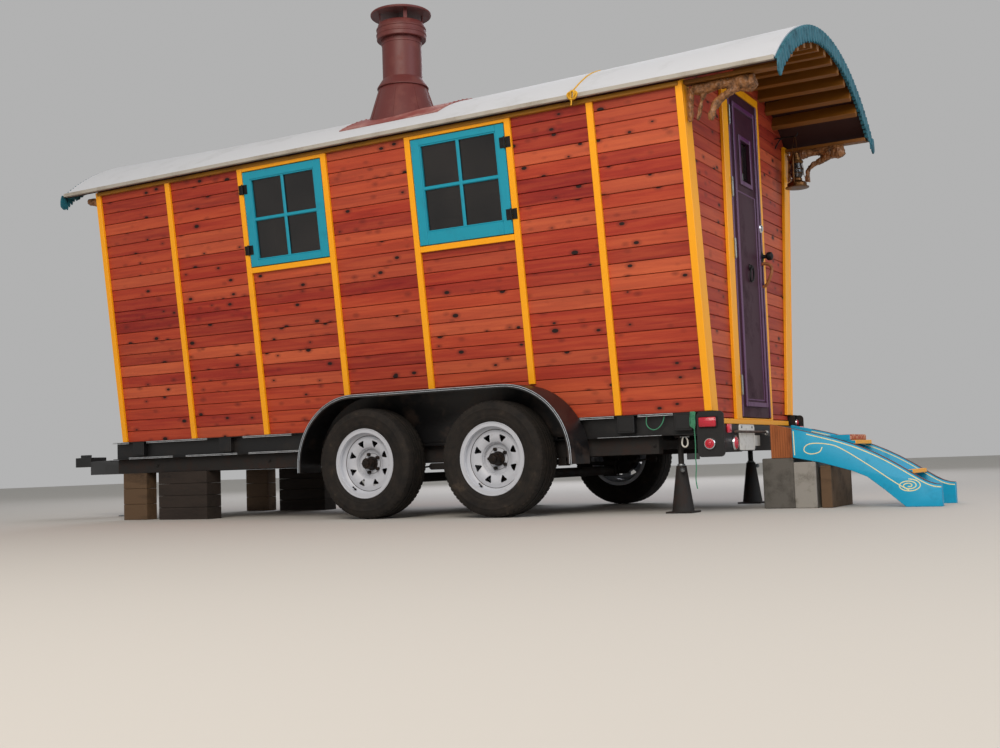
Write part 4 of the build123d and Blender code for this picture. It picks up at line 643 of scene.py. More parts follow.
def long_wall(side, name):
    """Boards, lining and window reveals of one long wall."""
    shape = bmesh.new()
    top = slope(BOARD_TOP)
    for bay, (front, rear) in enumerate(zip(CUTS, CUTS[1:])):
        spans = [(0.0, top)]
        if bay in WINDOWS:
            first, second, sill, head = window_gap(WINDOWS[bay])
            spans = [(0.0, sill), (head, top)]
        for start, stop in spans:
            for low, high in rows_between(start, stop, BOARD):
                side_plank(shape, side, rear + END_GAP, front - END_GAP, low, high - BOARD_GAP,
                           chance.uniform(-0.8, 0.3), BOARD_DEEP, BOARD_EASE, chance.uniform(0.02, 0.98))
            for low, high in rows_between(start, stop, 3 * BOARD):
                side_plank(shape, side, rear, front, low, high, LINING_DEEP - WALL, LINING_DEEP, 1.0, 1.0)
        if bay in WINDOWS:
            for near in (first - REVEAL, second):
                side_plank(shape, side, near, near + REVEAL, sill, head, -BOARD_DEEP,
                           WALL - BOARD_DEEP - LINING_DEEP, 1.0, 1.0)
    wall = piece(shape, name, side_boards, slot="red_boards", replaces=(name.replace("boards", "wall"),))
    print(name, "faces", len(wall.data.polygons))


long_wall(1, "boards_left")
long_wall(-1, "boards_right")

# %% [markdown]
# The end walls carry the same boards level across. Up under the roof each board is cut to the bow, and the
# door and the front window are left open. A board is still one plank with four corners, so the bow is
# followed in short straight cuts, which the roof's edge hides.

# %% End walls
DOOR_LEFT, DOOR_RIGHT, DOOR_LOW, DOOR_HIGH = 239.0, -302.0, 519.0, 2452.0
GABLE_HALF, GABLE_LOW, GABLE_HIGH = 325.0, 1635.0, 2255.0
LEVEL_BOARD = BOARD * cos(FLARE)
DECK_FRAME_HALF = 699.7
BOW_STARTS = EAVE + 13.0
# Up under the roof, the boards go on into it by these lengths, aside and up
BOW_LAP, CROWN_LAP = 14.0, 8.0
LINING_IN = 62.0


def end_plank(shape, ahead, away, left, right, low, high, depth, ease, tone):
    """A board across an end wall: left and right are half widths at its lower and at its upper edge."""
    corners = [spot(ahead, y, z) for y, z in (
        (left[0], low), (right[0], low), (right[1], high), (left[1], high))]
    plank(shape, corners, Vector((-away * depth * MM, 0, 0)), ease, tone)


def board_reach(ahead, height, lining):
    """Half a board's length at a height, out to the leaning corner or to the bow."""
    reach = half_width(height) if height >= DECK else DECK_FRAME_HALF
    if height > BOW_STARTS:
        reach = min(reach, under_bow(ahead, height) + BOW_LAP)
    return reach - (LINING_IN if lining and height < EAVE else 0.0)


def end_wall(name, node_name, ahead, away, opening, foot):
    """Boards and lining of one end; away is 1 where the outside lies forward, or else -1."""
    left_edge, right_edge, low_edge, high_edge = opening
    shape = bmesh.new()
    radius, middle = bow(ahead)
    crown = middle + radius - ROOF_THICK + CROWN_LAP
    courses = (
        # lining, pitch, inset, depth, gap, ease
        (False, LEVEL_BOARD, 0.0, BOARD_DEEP, BOARD_GAP, BOARD_EASE),
        (True, 3 * LEVEL_BOARD, WALL - LINING_DEEP, LINING_DEEP, 0.0, 1.0),
    )
    for lining, pitch, inset, depth, gap, ease in courses:
        edges = (foot, low_edge, high_edge, crown)
        rows = [rows_between(start, stop, pitch, DECK) for start, stop in zip(edges, edges[1:])]
        for low, high in sum(rows, []):
            if lining and high < DECK + 1:
                continue
            left = [board_reach(ahead, height, lining) for height in (low, high - gap)]
            right = [-reach for reach in left]
            spans = [(left, right)]
            if low_edge - 1 < low < high_edge - 1:
                spans = [(left, [left_edge] * 2), ([right_edge] * 2, right)]
            for start, stop in spans:
                tone = 1.0 if lining else chance.uniform(0.02, 0.98)
                lift = 0.0 if lining else chance.uniform(-0.3, 0.8)
                end_plank(shape, ahead - away * (inset + lift), away, start, stop, low, high - gap,
                          depth, ease, tone)
    piece(shape, name, end_boards, slot="red_boards", replaces=(node_name,))


end_wall("boards_rear", "wall_rear", BOX_REAR, -1, (DOOR_LEFT, DOOR_RIGHT, DOOR_LOW, DOOR_HIGH), DECK - 38)
end_wall("boards_front", "wall_front", BOX_FRONT, 1, (GABLE_HALF, -GABLE_HALF, GABLE_LOW, GABLE_HIGH), DECK)

# %% [markdown]
# Yellow gloss battens cover the board joints, and wider boards close the corners. They are planed softwood
# with eased edges, so each is a plank with a 2 mm bevel that catches the light as real arrises do.

# %% Yellow trim
BATTEN, CORNER_BATTEN = 39.0, 40.0
FENDER_TOP = 757.0
BATTENS = (
    # front edge, width, foot height
    (2699.0, CORNER_BATTEN, DECK), (2044.0, BATTEN, DECK), (1404.0, BATTEN, DECK),
    (722.0, BATTEN, FENDER_TOP), (88.5, BATTEN, FENDER_TOP), (-601.0, BATTEN, FENDER_TOP),
    (-1124.0, BATTEN, DECK),
    (-1653.0, CORNER_BATTEN, DECK),
)
SILL = 35.0
FOOT_LIFT = 3.2
TRIM_EASE = 2.2
CORNER_BOARD = 87.0
# The door's surround: its boards at the hinges, at the lock and above, and the kick board below
HINGE_BOARD, LOCK_BOARD, HEAD_BOARD = 92.0, 33.0, 46.0
KICK_HALF, KICK_LOW, KICK_HIGH = 650.0, 483.0, 512.0


def side_trim():
    """Battens, sills and head strips of both long walls."""
    shape = bmesh.new()
    top = slope(EAVE) - 0.5
    for side in (1, -1):
        for front, wide, foot in BATTENS:
            side_plank(shape, side, front - wide, front, slope(foot) + FOOT_LIFT, top, TRIM, TRIM, TRIM_EASE,
                       chance.random())
        for window in WINDOWS.values():
            rear, front, sill, head = window_gap(window)
            for low, high in ((sill - SILL, sill), (head, top)):
                side_plank(shape, side, rear + 0.4, front - 0.4, low, high, TRIM - 0.6, TRIM, TRIM_EASE)
    piece(shape, "yellow_battens", yellow_paint, slot="yellow_paint", replaces=("side_trim",))


def end_trim():
    """Corner boards, the door's surround and the front window's frame."""
    shape = bmesh.new()
    foot, head = DECK + 0.6, EAVE + 15
    for ahead, away in ((BOX_REAR, -1), (BOX_FRONT, 1)):
        for side in (1, -1):
            outer = [side * half_width(height) for height in (foot, head)]
            inner = [out - side * CORNER_BOARD for out in outer]
            end_plank(shape, ahead + away * TRIM, away, outer, inner, foot, head, TRIM, TRIM_EASE, 0.4)
    left, right, out = DOOR_LEFT + HINGE_BOARD, DOOR_RIGHT - LOCK_BOARD, GABLE_HALF + SILL
    boards = (
        # away, left, right, low, high, ease
        (-1, left, DOOR_LEFT, KICK_HIGH, DOOR_HIGH, TRIM_EASE),
        (-1, DOOR_RIGHT, right, KICK_HIGH, DOOR_HIGH, TRIM_EASE),
        (-1, left, right, DOOR_HIGH, DOOR_HIGH + HEAD_BOARD, TRIM_EASE),
        (-1, KICK_HALF, -KICK_HALF, KICK_LOW, KICK_HIGH, TRIM_EASE),
        (-1, DOOR_LEFT, DOOR_RIGHT, KICK_HIGH, DOOR_LOW, 1.0),
        (1, out, -out, GABLE_LOW - SILL, GABLE_LOW, TRIM_EASE),
        (1, out, -out, GABLE_HIGH, GABLE_HIGH + SILL, TRIM_EASE),
        (1, out, GABLE_HALF, GABLE_LOW, GABLE_HIGH, TRIM_EASE),
        (1, -GABLE_HALF, -out, GABLE_LOW, GABLE_HIGH, TRIM_EASE),
    )
    for away, left, right, low, high, ease in boards:
        face = (BOX_FRONT if away > 0 else BOX_REAR) + away * TRIM
        end_plank(shape, face, away, (left, left), (right, right), low, high, TRIM, ease, 0.5)
    piece(shape, "yellow_end_trim", yellow_paint, slot="yellow_paint", replaces=("end_trim",))


side_trim()
end_trim()

# %% [markdown]
# Each sash is a small frame of stiles and rails, with two thin glazing bars that cross in the middle. The
# bars and the rails' inner edges are moulded round, so they get a wider bevel. Black iron butt hinges sit
# half on the stile and half on the batten.

# %% Sashes and their hinges
STILE = 58.0
SASH_DEEP = 35.0
SASH_EASE = 2.5
SASH_MOULD = 8.0
BAR = 22.0
BAR_SETBACK = 4.0
HINGE_INSET = 110.0
HINGE_TALL = 60.0
HINGE_WIDE = 34.0
HINGE_LEAF = 3.2
SCREW_HEAD = ((0, 1.4), (3.2, 0.9), (3.8, 0), (3.8, -0.6), (0, -0.6))


def sash(place, wide, tall, rail_low, rail_high, name, body, node_name):
    """A four-light sash; place(across, up, proud) gives a point from the sash's lower middle."""
    shape = bmesh.new()
    half, inside, top = wide / 2, wide / 2 - STILE, tall - rail_high
    middle = (rail_low + top) / 2
    rail, bar, mould = TRIM - 0.5, TRIM - BAR_SETBACK, TRIM - 3
    for sizes in (
        # left, right, low, high, proud, depth, ease
        (-half, -inside, 0, tall, TRIM, SASH_DEEP, SASH_EASE),
        (inside, half, 0, tall, TRIM, SASH_DEEP, SASH_EASE),
        (-inside, inside, 0, rail_low, rail, SASH_DEEP - 1, SASH_EASE),
        (-inside, inside, top, tall, rail, SASH_DEEP - 1, SASH_EASE),
        (-BAR / 2, BAR / 2, rail_low - 2, top + 2, bar, 14, 5.0),
        (-inside - 2, inside + 2, middle - BAR / 2, middle + BAR / 2, bar - 0.5, 13, 5.0),
        (-inside, -inside + SASH_MOULD, rail_low, top, mould, 26, 2.0),
        (inside - SASH_MOULD, inside, rail_low, top, mould, 26, 2.0),
        (-inside, inside, rail_low, rail_low + SASH_MOULD, mould, 26, 2.0),
        (-inside, inside, top - SASH_MOULD, top, mould, 26, 2.0),
    ):
        slab(shape, place, *sizes)
    piece(shape, name, turquoise_paint, body, "turquoise_paint", (node_name,))


def butt_hinges(place, wide, tall, hinge, name, body):
    """Two butt hinges on the side hinge: leaf and knuckle on the sash, the other leaf on the frame."""
    moving, still = bmesh.new(), bmesh.new()
    edge = hinge * (wide / 2 + SASH_GAP / 2)
    origin = place(0, 0, 0)
    for height in (HINGE_INSET, tall - HINGE_INSET):
        low, high = height - HINGE_TALL / 2, height + HINGE_TALL / 2
        for shape, inner, outer in (
            (moving, edge - hinge * HINGE_WIDE, edge), (still, edge + hinge * 7, edge + hinge * 36),
        ):
            slab(shape, place, inner, outer, low, high, TRIM + HINGE_LEAF, HINGE_LEAF, 0.8)
            for share in (0.25, 0.75):
                screw = place(inner + (outer - inner) * 0.45, low + (high - low) * share, TRIM + 3.0)
                lathe(shape, SCREW_HEAD, screw, place(0, 0, 1) - origin, 12)
        tall_pin = high - low + 10
        lathe(moving, (
            (0, 0), (3, 0.5), (4, 3), (4, 5), (6, 5), (6, tall_pin - 5), (4, tall_pin - 5), (4, tall_pin - 3),
            (3, tall_pin - 0.5), (0, tall_pin)), place(edge, low - 5, TRIM + 10), place(0, 1, 0) - origin, 16)
        web = [place(edge - 2, s, TRIM + h) for s, h in ((low, 0), (low, 9), (high, 9), (high, 0))]
        plank(moving, web, place(4, 0, 0) - origin, 0)
    piece(moving, f"{name}_hinges", black_iron, body, "door_iron")
    piece(still, f"{name}_hinge_leaves", black_iron, "wagon", "door_iron")


def on_window(side, middle, foot, across, along, proud):
    """A place on a side window, from its lower middle."""
    return on_side(side, middle + across, foot + along, proud)


def gable_place(across, along, proud):
    """A place on the front window, from its lower middle."""
    return spot(BOX_FRONT + proud, across, GABLE_LOW + SASH_GAP + along)


for name, rear, front, low, high, rail_low, rail_high, hinge in WINDOWS.values():
    wide, tall = front - rear - 2 * SASH_GAP, slope(high) - slope(low)
    for side, side_name in ((1, "left"), (-1, "right")):
        place = partial(on_window, side, (rear + front) / 2, slope(low))
        which = f"{name}_{side_name}"
        window = f"window_{which}"
        sash(place, wide, tall, rail_low, rail_high, f"frame_{which}", window, f"sash_{which}")
        butt_hinges(place, wide, tall, hinge, window, window)
GABLE_WIDE, GABLE_TALL = 2 * (GABLE_HALF - SASH_GAP), GABLE_HIGH - GABLE_LOW - 2 * SASH_GAP
sash(gable_place, GABLE_WIDE, GABLE_TALL, STILE, STILE, "frame_gable", "window_gable", "sash_gable")
butt_hinges(gable_place, GABLE_WIDE, GABLE_TALL, 1, "window_gable", "window_gable")
for pane in [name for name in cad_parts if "pane" in name]:
    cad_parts[pane].data.materials.clear()
    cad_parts[pane].data.materials.append(window_glass)

# %% [markdown]
# The roof is a bowed skin of boards and canvas with a pale coating that weather has streaked. It is bent
# from a flat grid: each point of the grid becomes a place along the wagon and an angle on the bow. The same
# grid, pushed inwards, becomes the ceiling. A thin metal edging closes both eaves.

# %% Roof
ROOF_STEPS_LONG, ROOF_STEPS_ACROSS = 64, 56
EDGING = 24.0


def roof_place(share_long, share_across, inset):
    """A place on the roof for shares 0 to 1 of its length and width, inset below its outer face."""
    ahead = ROOF_REAR + share_long * (ROOF_FRONT - ROOF_REAR)
    radius, middle = bow(ahead)
    limit = acos((EAVE - middle) / (radius - inset))
    return on_bow(ahead, (2 * share_across - 1) * limit, -inset)


def roof_skin(name, outer, inner, material, slot, replaces=()):
    """A layer of the roof between two depths below its outer face."""
    shape = bmesh.new()
    outside = set(bmesh.ops.create_grid(
        shape, x_segments=ROOF_STEPS_LONG, y_segments=ROOF_STEPS_ACROSS, size=0.5)["verts"])
    bmesh.ops.extrude_face_region(shape, geom=shape.faces[:])
    for vert in shape.verts:
        vert.co = roof_place(vert.co.x + 0.5, vert.co.y + 0.5, outer if vert in outside else inner)
    return piece(shape, name, material, slot=slot, replaces=replaces)


roof_skin("roof_skin", 0.0, 12.0, roof_coating, "roof_sheet", ("roof",))
roof_skin("ceiling", 12.2, ROOF_THICK, under_roof, "bare_timber")
shape = bmesh.new()
for side in (1, -1):
    flank(shape, side, ROOF_REAR, ROOF_FRONT, ROOF_HALF - 20, ROOF_HALF + 2.5, EAVE - 4,
          EAVE - 4 + EDGING, 2.0)
piece(shape, "roof_edging", roof_edging, slot="roof_sheet")

# %% [markdown]
# A narrow board runs under each eave and covers the tops of the battens. Its yellow paint is darkened to
# ochre as painted shade for the shadow under the eave. It is one sawn length a side, so it is a plain eased
# bar.

# %% Eave boards
EAVE_BOARD = (950.0, 975.0, 2279.0, 2302.5)
shape = bmesh.new()
for side in (1, -1):
    flank(shape, side, BOX_REAR + 1, BOX_FRONT - 1, *EAVE_BOARD, 2.0)
piece(shape, "eave_boards", shaded_eave_paint, slot="yellow_paint")

# %% [markdown]
# Both ends of the roof wear a turquoise valance. It is a bowed board with a fringe of narrow carved leaves
# in front of it, which hang almost straight down. One leaf is a cube drawn out, thinned at its tip and
# bevelled, and a loop hangs it all along the bow. Every second one lies a little deeper, so the fringe casts
# small shadows.

# %% Leafy valances
LEAF_WIDE = 27.0
LEAF_LONG = 92.0
LEAF_THICK = 6.0
LEAF_STEP = radians(1.12)
LEAF_DEEPER = 6.0
LEAF_DROP = 4.0
END_LEAF = (62.0, 98.0, 9.0)
VALANCE_THICK = 18.0


def leaf(shape, top, wide, long, thick, lean, outward):
    """One leaf that hangs from its top point, leaning by an angle in the plane of the gable."""
    outline = bmesh.ops.create_grid(shape, x_segments=2, y_segments=6, size=0.5)["verts"]
    faces = {face for vert in outline for face in vert.link_faces}
    for vert in outline:
        down = 0.5 - vert.co.y
        # The leaf swells towards its middle and ends in a blunt tip
        swell = 0.62 + 1.25 * down * (1.12 - down) if down < 0.95 else 0.22
        across, drop = vert.co.x * wide * swell, down * long
        aside, up = across * cos(lean) + drop * sin(lean), across * sin(lean) - drop * cos(lean)
        vert.co = top + Vector((0, aside, up)) * MM
    grown = bmesh.ops.extrude_face_region(shape, geom=list(faces))["geom"]
    front = {item for item in grown if isinstance(item, bmesh.types.BMFace)}
    for vert in {vert for face in front for vert in face.verts}:
        vert.co.x += outward * thick * MM
    eased(shape, [edge for edge in {edge for face in front for edge in face.edges}
                  if not set(edge.link_faces) <= front], 1.6)


for name, ahead, outward in (("rear", ROOF_REAR, -1), ("front", ROOF_FRONT, 1)):
    shape = bmesh.new()
    radius, middle = bow(ahead)
    limit = acos((EAVE - middle) / radius) - LEAF_STEP / 2
    count = int(2 * limit / LEAF_STEP)
    for index in range(count + 1):
        odd = index % 2
        angle = (index - count / 2) * LEAF_STEP
        forward = Vector((outward * (VALANCE_THICK - 2.0 * odd) * MM, 0, 0))
        long = LEAF_LONG + LEAF_DEEPER * odd + chance.uniform(-4, 4)
        top = on_bow(ahead, angle, -LEAF_DROP) + forward
        leaf(shape, top, LEAF_WIDE, long, LEAF_THICK, -0.45 * angle, outward)
    for side in (1, -1):
        top = spot(ahead + outward * VALANCE_THICK, side * (ROOF_HALF - 22), EAVE + 10)
        leaf(shape, top, *END_LEAF, 0.0, outward)
    piece(shape, f"valance_leaves_{name}", valance_paint, slot="turquoise_paint")
softened("valances", valance_paint, 1.5, slot="turquoise_paint")
softened("purlins", porch_timber, 2.0, slot="bare_timber")

# %% [markdown]
# The door is a painted plank leaf with a raised frame of lighter mouldings, a small window high up, and iron
# and wood furniture. The long mouldings have a rounded nose, so each is a bevelled bar on the leaf. Its
# handle is a bent branch, left as it grew.

# %% Door
LEAF_PLANE = BOX_REAR - 17.0
DOOR_GAP = 5.0
MOULD_INSET, MOULD_WIDE, MOULD_PROUD = 62.0, 30.0, 8.0
GLASS_Y, GLASS_HALF, GLASS_LOW, GLASS_HIGH = -31.5, 83.0, 1932.0, 2174.0
GLASS_FRAME = 30.0


def on_door(across, up, proud):
    """A place on the door: left of the middle line, above the ground and proud of the leaf."""
    return spot(LEAF_PLANE - proud, across, up)


def ring(shape, left, right, low, high, wide, proud, depth, ease):
    """Four bars round an opening, each as wide as told, inside the given outline."""
    for sizes in (
        (left, left - wide, low, high, proud), (right + wide, right, low, high, proud),
        (left - wide, right + wide, low, low + wide, proud - 0.4),
        (left - wide, right + wide, high - wide, high, proud - 0.4),
    ):
        slab(shape, on_door, *sizes, depth, ease)


softened("door_leaf", purple_paint, 1.5, "door", "door_paint")
shape = bmesh.new()
left, right = DOOR_LEFT - DOOR_GAP - MOULD_INSET, DOOR_RIGHT + DOOR_GAP + MOULD_INSET
low, high = DOOR_LOW + DOOR_GAP + MOULD_INSET, DOOR_HIGH - DOOR_GAP - MOULD_INSET
ring(shape, left + 1, right - 1, low - 1, high + 1, MOULD_WIDE + 2, MOULD_PROUD + 2, 8, 4.5)
ring(shape, left - 40, right + 40, low + 38, GLASS_LOW - 70, 9, 3, 6, 2.5)
ring(shape, GLASS_Y + GLASS_HALF + GLASS_FRAME, GLASS_Y - GLASS_HALF - GLASS_FRAME, GLASS_LOW - GLASS_FRAME,
     GLASS_HIGH + GLASS_FRAME, GLASS_FRAME - 1, MOULD_PROUD + 2, 8, 4.0)
for left in (DOOR_LEFT - 8, DOOR_RIGHT + 26):
    slab(shape, on_door, left, left - 18, DOOR_LOW + 8, DOOR_HIGH - 8, 5, 6, 3.0)
piece(shape, "door_mouldings", plum_moulding, "door", "door_paint")

# %% Door furniture
LOCK_Y = DOOR_RIGHT + 35.0
HINGE_EDGE = 236.5
HINGE_HEIGHTS = (708.0, 1500.0, 1860.0, 2287.0)
HINGE_WIDTH, HINGE_HALF = 34.0, 55.0
DEADBOLT_Z, KNOB_Z, KNOCKER_Z, KNOCKER_RING_Z = 1688.0, 1512.0, 1420.0, 1378.0
REARWARD = Vector((-1, 0, 0))
UPWARD = Vector((0, 0, 1))
bright = bmesh.new()
for height in HINGE_HEIGHTS:
    low, high = height - HINGE_HALF, height + HINGE_HALF
    slab(bright, on_door, HINGE_EDGE, HINGE_EDGE - HINGE_WIDTH, low, high, 3.4, 3.4, 0.8)
    lathe(bright, ((0, 0), (4, 1), (4, 6), (6.2, 6), (6.2, 114), (4, 114), (4, 119), (0, 120)),
          on_door(HINGE_EDGE, low - 5, 10), UPWARD, 18)
    slab(bright, on_door, HINGE_EDGE + 2, HINGE_EDGE - 2, low, high, 10, 10, 0)
piece(bright, "door_hinges", zinc, "door", "door_iron")
shape = bmesh.new()
lathe(shape, ((0, 0), (29, 0), (29, 6), (24, 12), (15, 13), (15, 17), (0, 18)),
      on_door(LOCK_Y, DEADBOLT_Z, 0), REARWARD, 40)
piece(shape, "deadbolt", chrome, "door", "door_iron")
shape = bmesh.new()
lathe(shape, (
    (0, 0), (29, 0), (29, 6), (22, 11), (12, 14), (11, 30), (24, 40), (27, 52), (24, 66), (12, 73), (0, 74),
), on_door(LOCK_Y, KNOB_Z, 0), REARWARD, 40)
lathe(shape, ((0, 0), (20, 0), (20, 4), (13, 10), (12, 18), (0, 20)),
      on_door(GLASS_Y, KNOCKER_Z, 0), REARWARD, 30)
piece(shape, "door_knob", black_iron, "door", "door_iron", ("door_fittings",))
# The ring is narrower at its top and hangs a little away from the leaf
knocker = [on_door(GLASS_Y + 30 * sin(t) * (1 - 0.25 * cos(t)), KNOCKER_RING_Z + 44 * cos(t), 14 + 4 * cos(t))
           for t in full_turn(28)]
rods("door_knocker", (knocker,), 5.5, black_iron, "door", "door_iron", "NURBS")
branch = [on_door(LOCK_Y + aside, height, out) for out, aside, height in (
    (-4, 2, 1468), (18, 0, 1470), (44, -3, 1464), (60, -2, 1448), (64, 2, 1420), (56, 5, 1392), (44, 3, 1366),
    (30, 0, 1342), (14, -2, 1330), (-4, 0, 1326))]
rods("branch_pull", (branch,), 10.0, bent_branch, "door", "bare_timber", "NURBS")

# %% [markdown]
# Gnarled roots stand as brackets under the eave. A root is hard to draw and easy to grow: the CAD limbs are
# merged into one skin of small cells, and layers of noise push that skin in and out along its normals. Large
# lumps make the burl, and fine ones make the bark.

# %% Root brackets
ROOT_CELL = 3.6
holder = bpy.data.objects.new("rough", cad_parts["roots"].data.copy())
bpy.context.collection.objects.link(holder)
cells = holder.modifiers.new("cells", "REMESH")
cells.mode = "VOXEL"
cells.voxel_size = ROOT_CELL * MM
shape = opened(bpy.data.meshes.new_from_object(holder.evaluated_get(bpy.context.evaluated_depsgraph_get())))
bpy.data.objects.remove(holder)
shape.normal_update()
# Bark stays low at the top, where the roots bear against the roof
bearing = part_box("roots")[1][2] - 2 * MM
moves = []
for vert in shape.verts:
    here = vert.co
    lumps = noise.fractal(here * 14, 0.9, 2.0, 3) * 9.0
    ribs = abs(noise.noise(Vector((here.x * 60, here.y * 60, here.z * 18)))) * 9.0
    bark = noise.fractal(here * 120, 0.8, 2.1, 4) * 2.2
    moves.append(vert.normal * (lumps - ribs + bark - 0.5) * MM * (0.15 if here.z > bearing else 1.0))
for vert, move in zip(shape.verts, moves):
    vert.co += move
roots = piece(shape, "root_brackets", root_wood, slot="root_wood", replaces=("roots",), smooth=70.0)
print("root faces", len(roots.data.polygons))

# %% [markdown]
# The stove's chimney is rolled sheet, painted dark red and bleached by rain and heat. A lathe profile gives
# the skirt, the pipe, the storm collar and the ringed band, because a tinsmith's rolled parts are all round.
# The skirt is welded from eight panels, so thin seams stand on it.

# %% Chimney
CHIMNEY_X, CHIMNEY_Y = 390.0, 500.0
CONE_FOOT, CONE_TOP, BAND_LOW, BAND_HIGH, CAP_LOW, CAP_TOP = 2470.0, 2742.0, 3067.0, 3173.0, 3229.0, 3290.0
foot = spot(CHIMNEY_X, CHIMNEY_Y, 0)


def strap(shape, turn, lower, upper, across, out, through):
    """A strip that stands between two (radius, height) places of the chimney, turned round its axis."""
    low, high = [foot + turn @ Vector((reach * MM, 0, 0)) + UPWARD * height * MM
                 for reach, height in (lower, upper)]
    across, out = turn @ Vector((0, across * MM, 0)), turn @ Vector(out) * MM
    plank(shape, [low - across + out, low + across + out, high + across + out, high - across + out],
          -through * out, 0.8)


shape = bmesh.new()
lathe(shape, (
    (245, CONE_FOOT), (160, CONE_TOP - 6), (156, CONE_TOP), (158, CONE_TOP + 1), (166, CONE_TOP + 2),
    (167, CONE_TOP + 8), (132, CONE_TOP + 62), (128, CONE_TOP + 66), (128, BAND_LOW - 34),
    (131, BAND_LOW - 32), (131, BAND_LOW - 22), (128, BAND_LOW - 20), (128, BAND_LOW + 2),
    (157, BAND_LOW - 1), (160, BAND_LOW + 3), (160, BAND_LOW + 26), (163, BAND_LOW + 30),
    (163, BAND_LOW + 37), (159, BAND_LOW + 41), (158, BAND_LOW + 62), (162, BAND_LOW + 66),
    (162, BAND_LOW + 73), (156, BAND_LOW + 78), (150, BAND_HIGH - 4), (146, BAND_HIGH), (122, BAND_HIGH),
    (120, BAND_HIGH - 3), (120, CONE_TOP + 20), (0, CONE_TOP + 18),
), foot, UPWARD, 72)
SEAMS = 8
for seam in range(SEAMS):
    turn = Matrix.Rotation(2 * pi * (seam + 0.35) / SEAMS, 4, "Z")
    strap(shape, turn, (244, CONE_FOOT + 4), (158, CONE_TOP - 4), 3.0, (3.4, 0, 1.1), 1.6)
piece(shape, "chimney_stack", chimney_paint, slot="chimney_paint", replaces=("chimney_pipe",))
shape = bmesh.new()
lathe(shape, (
    (0, CAP_LOW + 10), (150, CAP_LOW + 6), (190, CAP_LOW + 2), (195, CAP_LOW), (197, CAP_LOW + 3),
    (197, CAP_LOW + 11), (193, CAP_LOW + 15), (130, CAP_LOW + 36), (62, CAP_TOP - 4), (52, CAP_TOP),
    (0, CAP_TOP + 1),
), foot, UPWARD, 72)
for corner in range(4):
    turn = Matrix.Rotation(radians(45 + 90 * corner), 4, "Z")
    strap(shape, turn, (139.5, BAND_HIGH - 14), (139.5, CAP_LOW + 6), 12.0, (2.5, 0, 0), 2.0)
piece(shape, "chimney_hat", chimney_paint, slot="chimney_paint", replaces=("chimney_cap",))

# %% [markdown]
# The flashing is one painted sheet that follows the bow of the roof. It is bent from a grid like the roof
# is, over the patch of roof round the chimney.

# %% Flashing
FLASH_REAR, FLASH_FRONT, FLASH_LOW, FLASH_HIGH, FLASH_THICK = -77.0, 660.0, 835.0, 130.0, 6.0
NAILS, NAIL_STEP, NAIL_INSET = 14, 51.0, 14.0
shape = bmesh.new()
underside = set(bmesh.ops.create_grid(shape, x_segments=20, y_segments=20, size=0.5)["verts"])
bmesh.ops.extrude_face_region(shape, geom=shape.faces[:])
for vert in shape.verts:
    ahead = FLASH_REAR + (vert.co.x + 0.5) * (FLASH_FRONT - FLASH_REAR)
    radius = bow(ahead)[0]
    angle_low, angle_high = asin(FLASH_LOW / radius), asin(FLASH_HIGH / radius)
    angle = angle_high + (vert.co.y + 0.5) * (angle_low - angle_high)
    vert.co = on_bow(ahead, angle, 0.5 if vert in underside else FLASH_THICK)
for row in range(NAILS):
    for ahead in (FLASH_REAR + NAIL_INSET, FLASH_FRONT - NAIL_INSET):
        angle = asin((FLASH_HIGH + 20 + row * NAIL_STEP) / bow(ahead)[0])
        normal = Vector((0, sin(angle), cos(angle)))
        lathe(shape, ((7, 0), (7, 1.5), (4.5, 3.5), (0, 4)), on_bow(ahead, angle, FLASH_THICK), normal, 10)
piece(shape, "flashing", flashing_paint, slot="chimney_paint")

# %% [markdown]
# A hurricane lantern hangs from a hook beside the door. Its tank has a wide rim, its globe is clear glass in
# a wire guard, and two side tubes carry air up to the hood. Tubes, wires, bail and hook are all bent rods.

# %% Lantern
LANTERN_X, LANTERN_Y, LANTERN_FOOT, HOOK_Z = -1805.0, -730.0, 2004.0, 2345.0
GUARD, GUARD_LOW, GUARD_HIGH = 46.0, 92.0, 122.0


def on_lantern(ahead, aside, height):
    """A place ahead of the lantern's axis, left of it and above its foot."""
    return spot(LANTERN_X + ahead, LANTERN_Y + aside, LANTERN_FOOT + height)


base = on_lantern(0, 0, 0)
shape = bmesh.new()
lathe(shape, (
    (0, 0), (58, 0), (74, 3), (76, 7), (70, 9), (62, 12), (62, 30), (56, 38), (40, 44), (34, 50),
    (34, 62), (30, 66), (28, 70), (0, 70)), base, UPWARD, 48)
lathe(shape, (
    (0, 158), (38, 158), (44, 164), (47, 172), (44, 178), (34, 182), (32, 196), (26, 200), (26, 212),
    (20, 216), (20, 228), (10, 236), (0, 237)), base, UPWARD, 48)
piece(shape, "lantern_body", lantern_tin, slot="lantern_tin", replaces=("lantern",))
shape = bmesh.new()
lathe(shape, ((29, 69), (37, 80), (43, 104), (42, 124), (37, 146), (36, 159)), base, UPWARD, 48)
piece(shape, "lantern_globe", window_glass, slot="window_glass")
tubes = [[on_lantern(0, side * out, high) for out, high in (
    (58, 26), (72, 40), (73, 100), (70, 170), (62, 208), (38, 222), (18, 224))] for side in (1, -1)]
rods("lantern_tubes", tubes, 6.0, lantern_tin, slot="lantern_tin", kind="NURBS")
wires = [[on_lantern(GUARD * cos(t), GUARD * sin(t), height) for t in full_turn(32)]
         for height in (GUARD_LOW, GUARD_HIGH)]
for side in (1, -1):
    wires.append([on_lantern(side * GUARD, aside, height)
                  for aside, height in ((-14, 72), (0, GUARD_LOW), (0, GUARD_HIGH), (14, 150))])
bail = [on_lantern(0, 66 * sin(t) * (1.0 if cos(t) < 0.2 else 0.55), 262 + 78 * cos(t))
        for t in full_turn(24)]
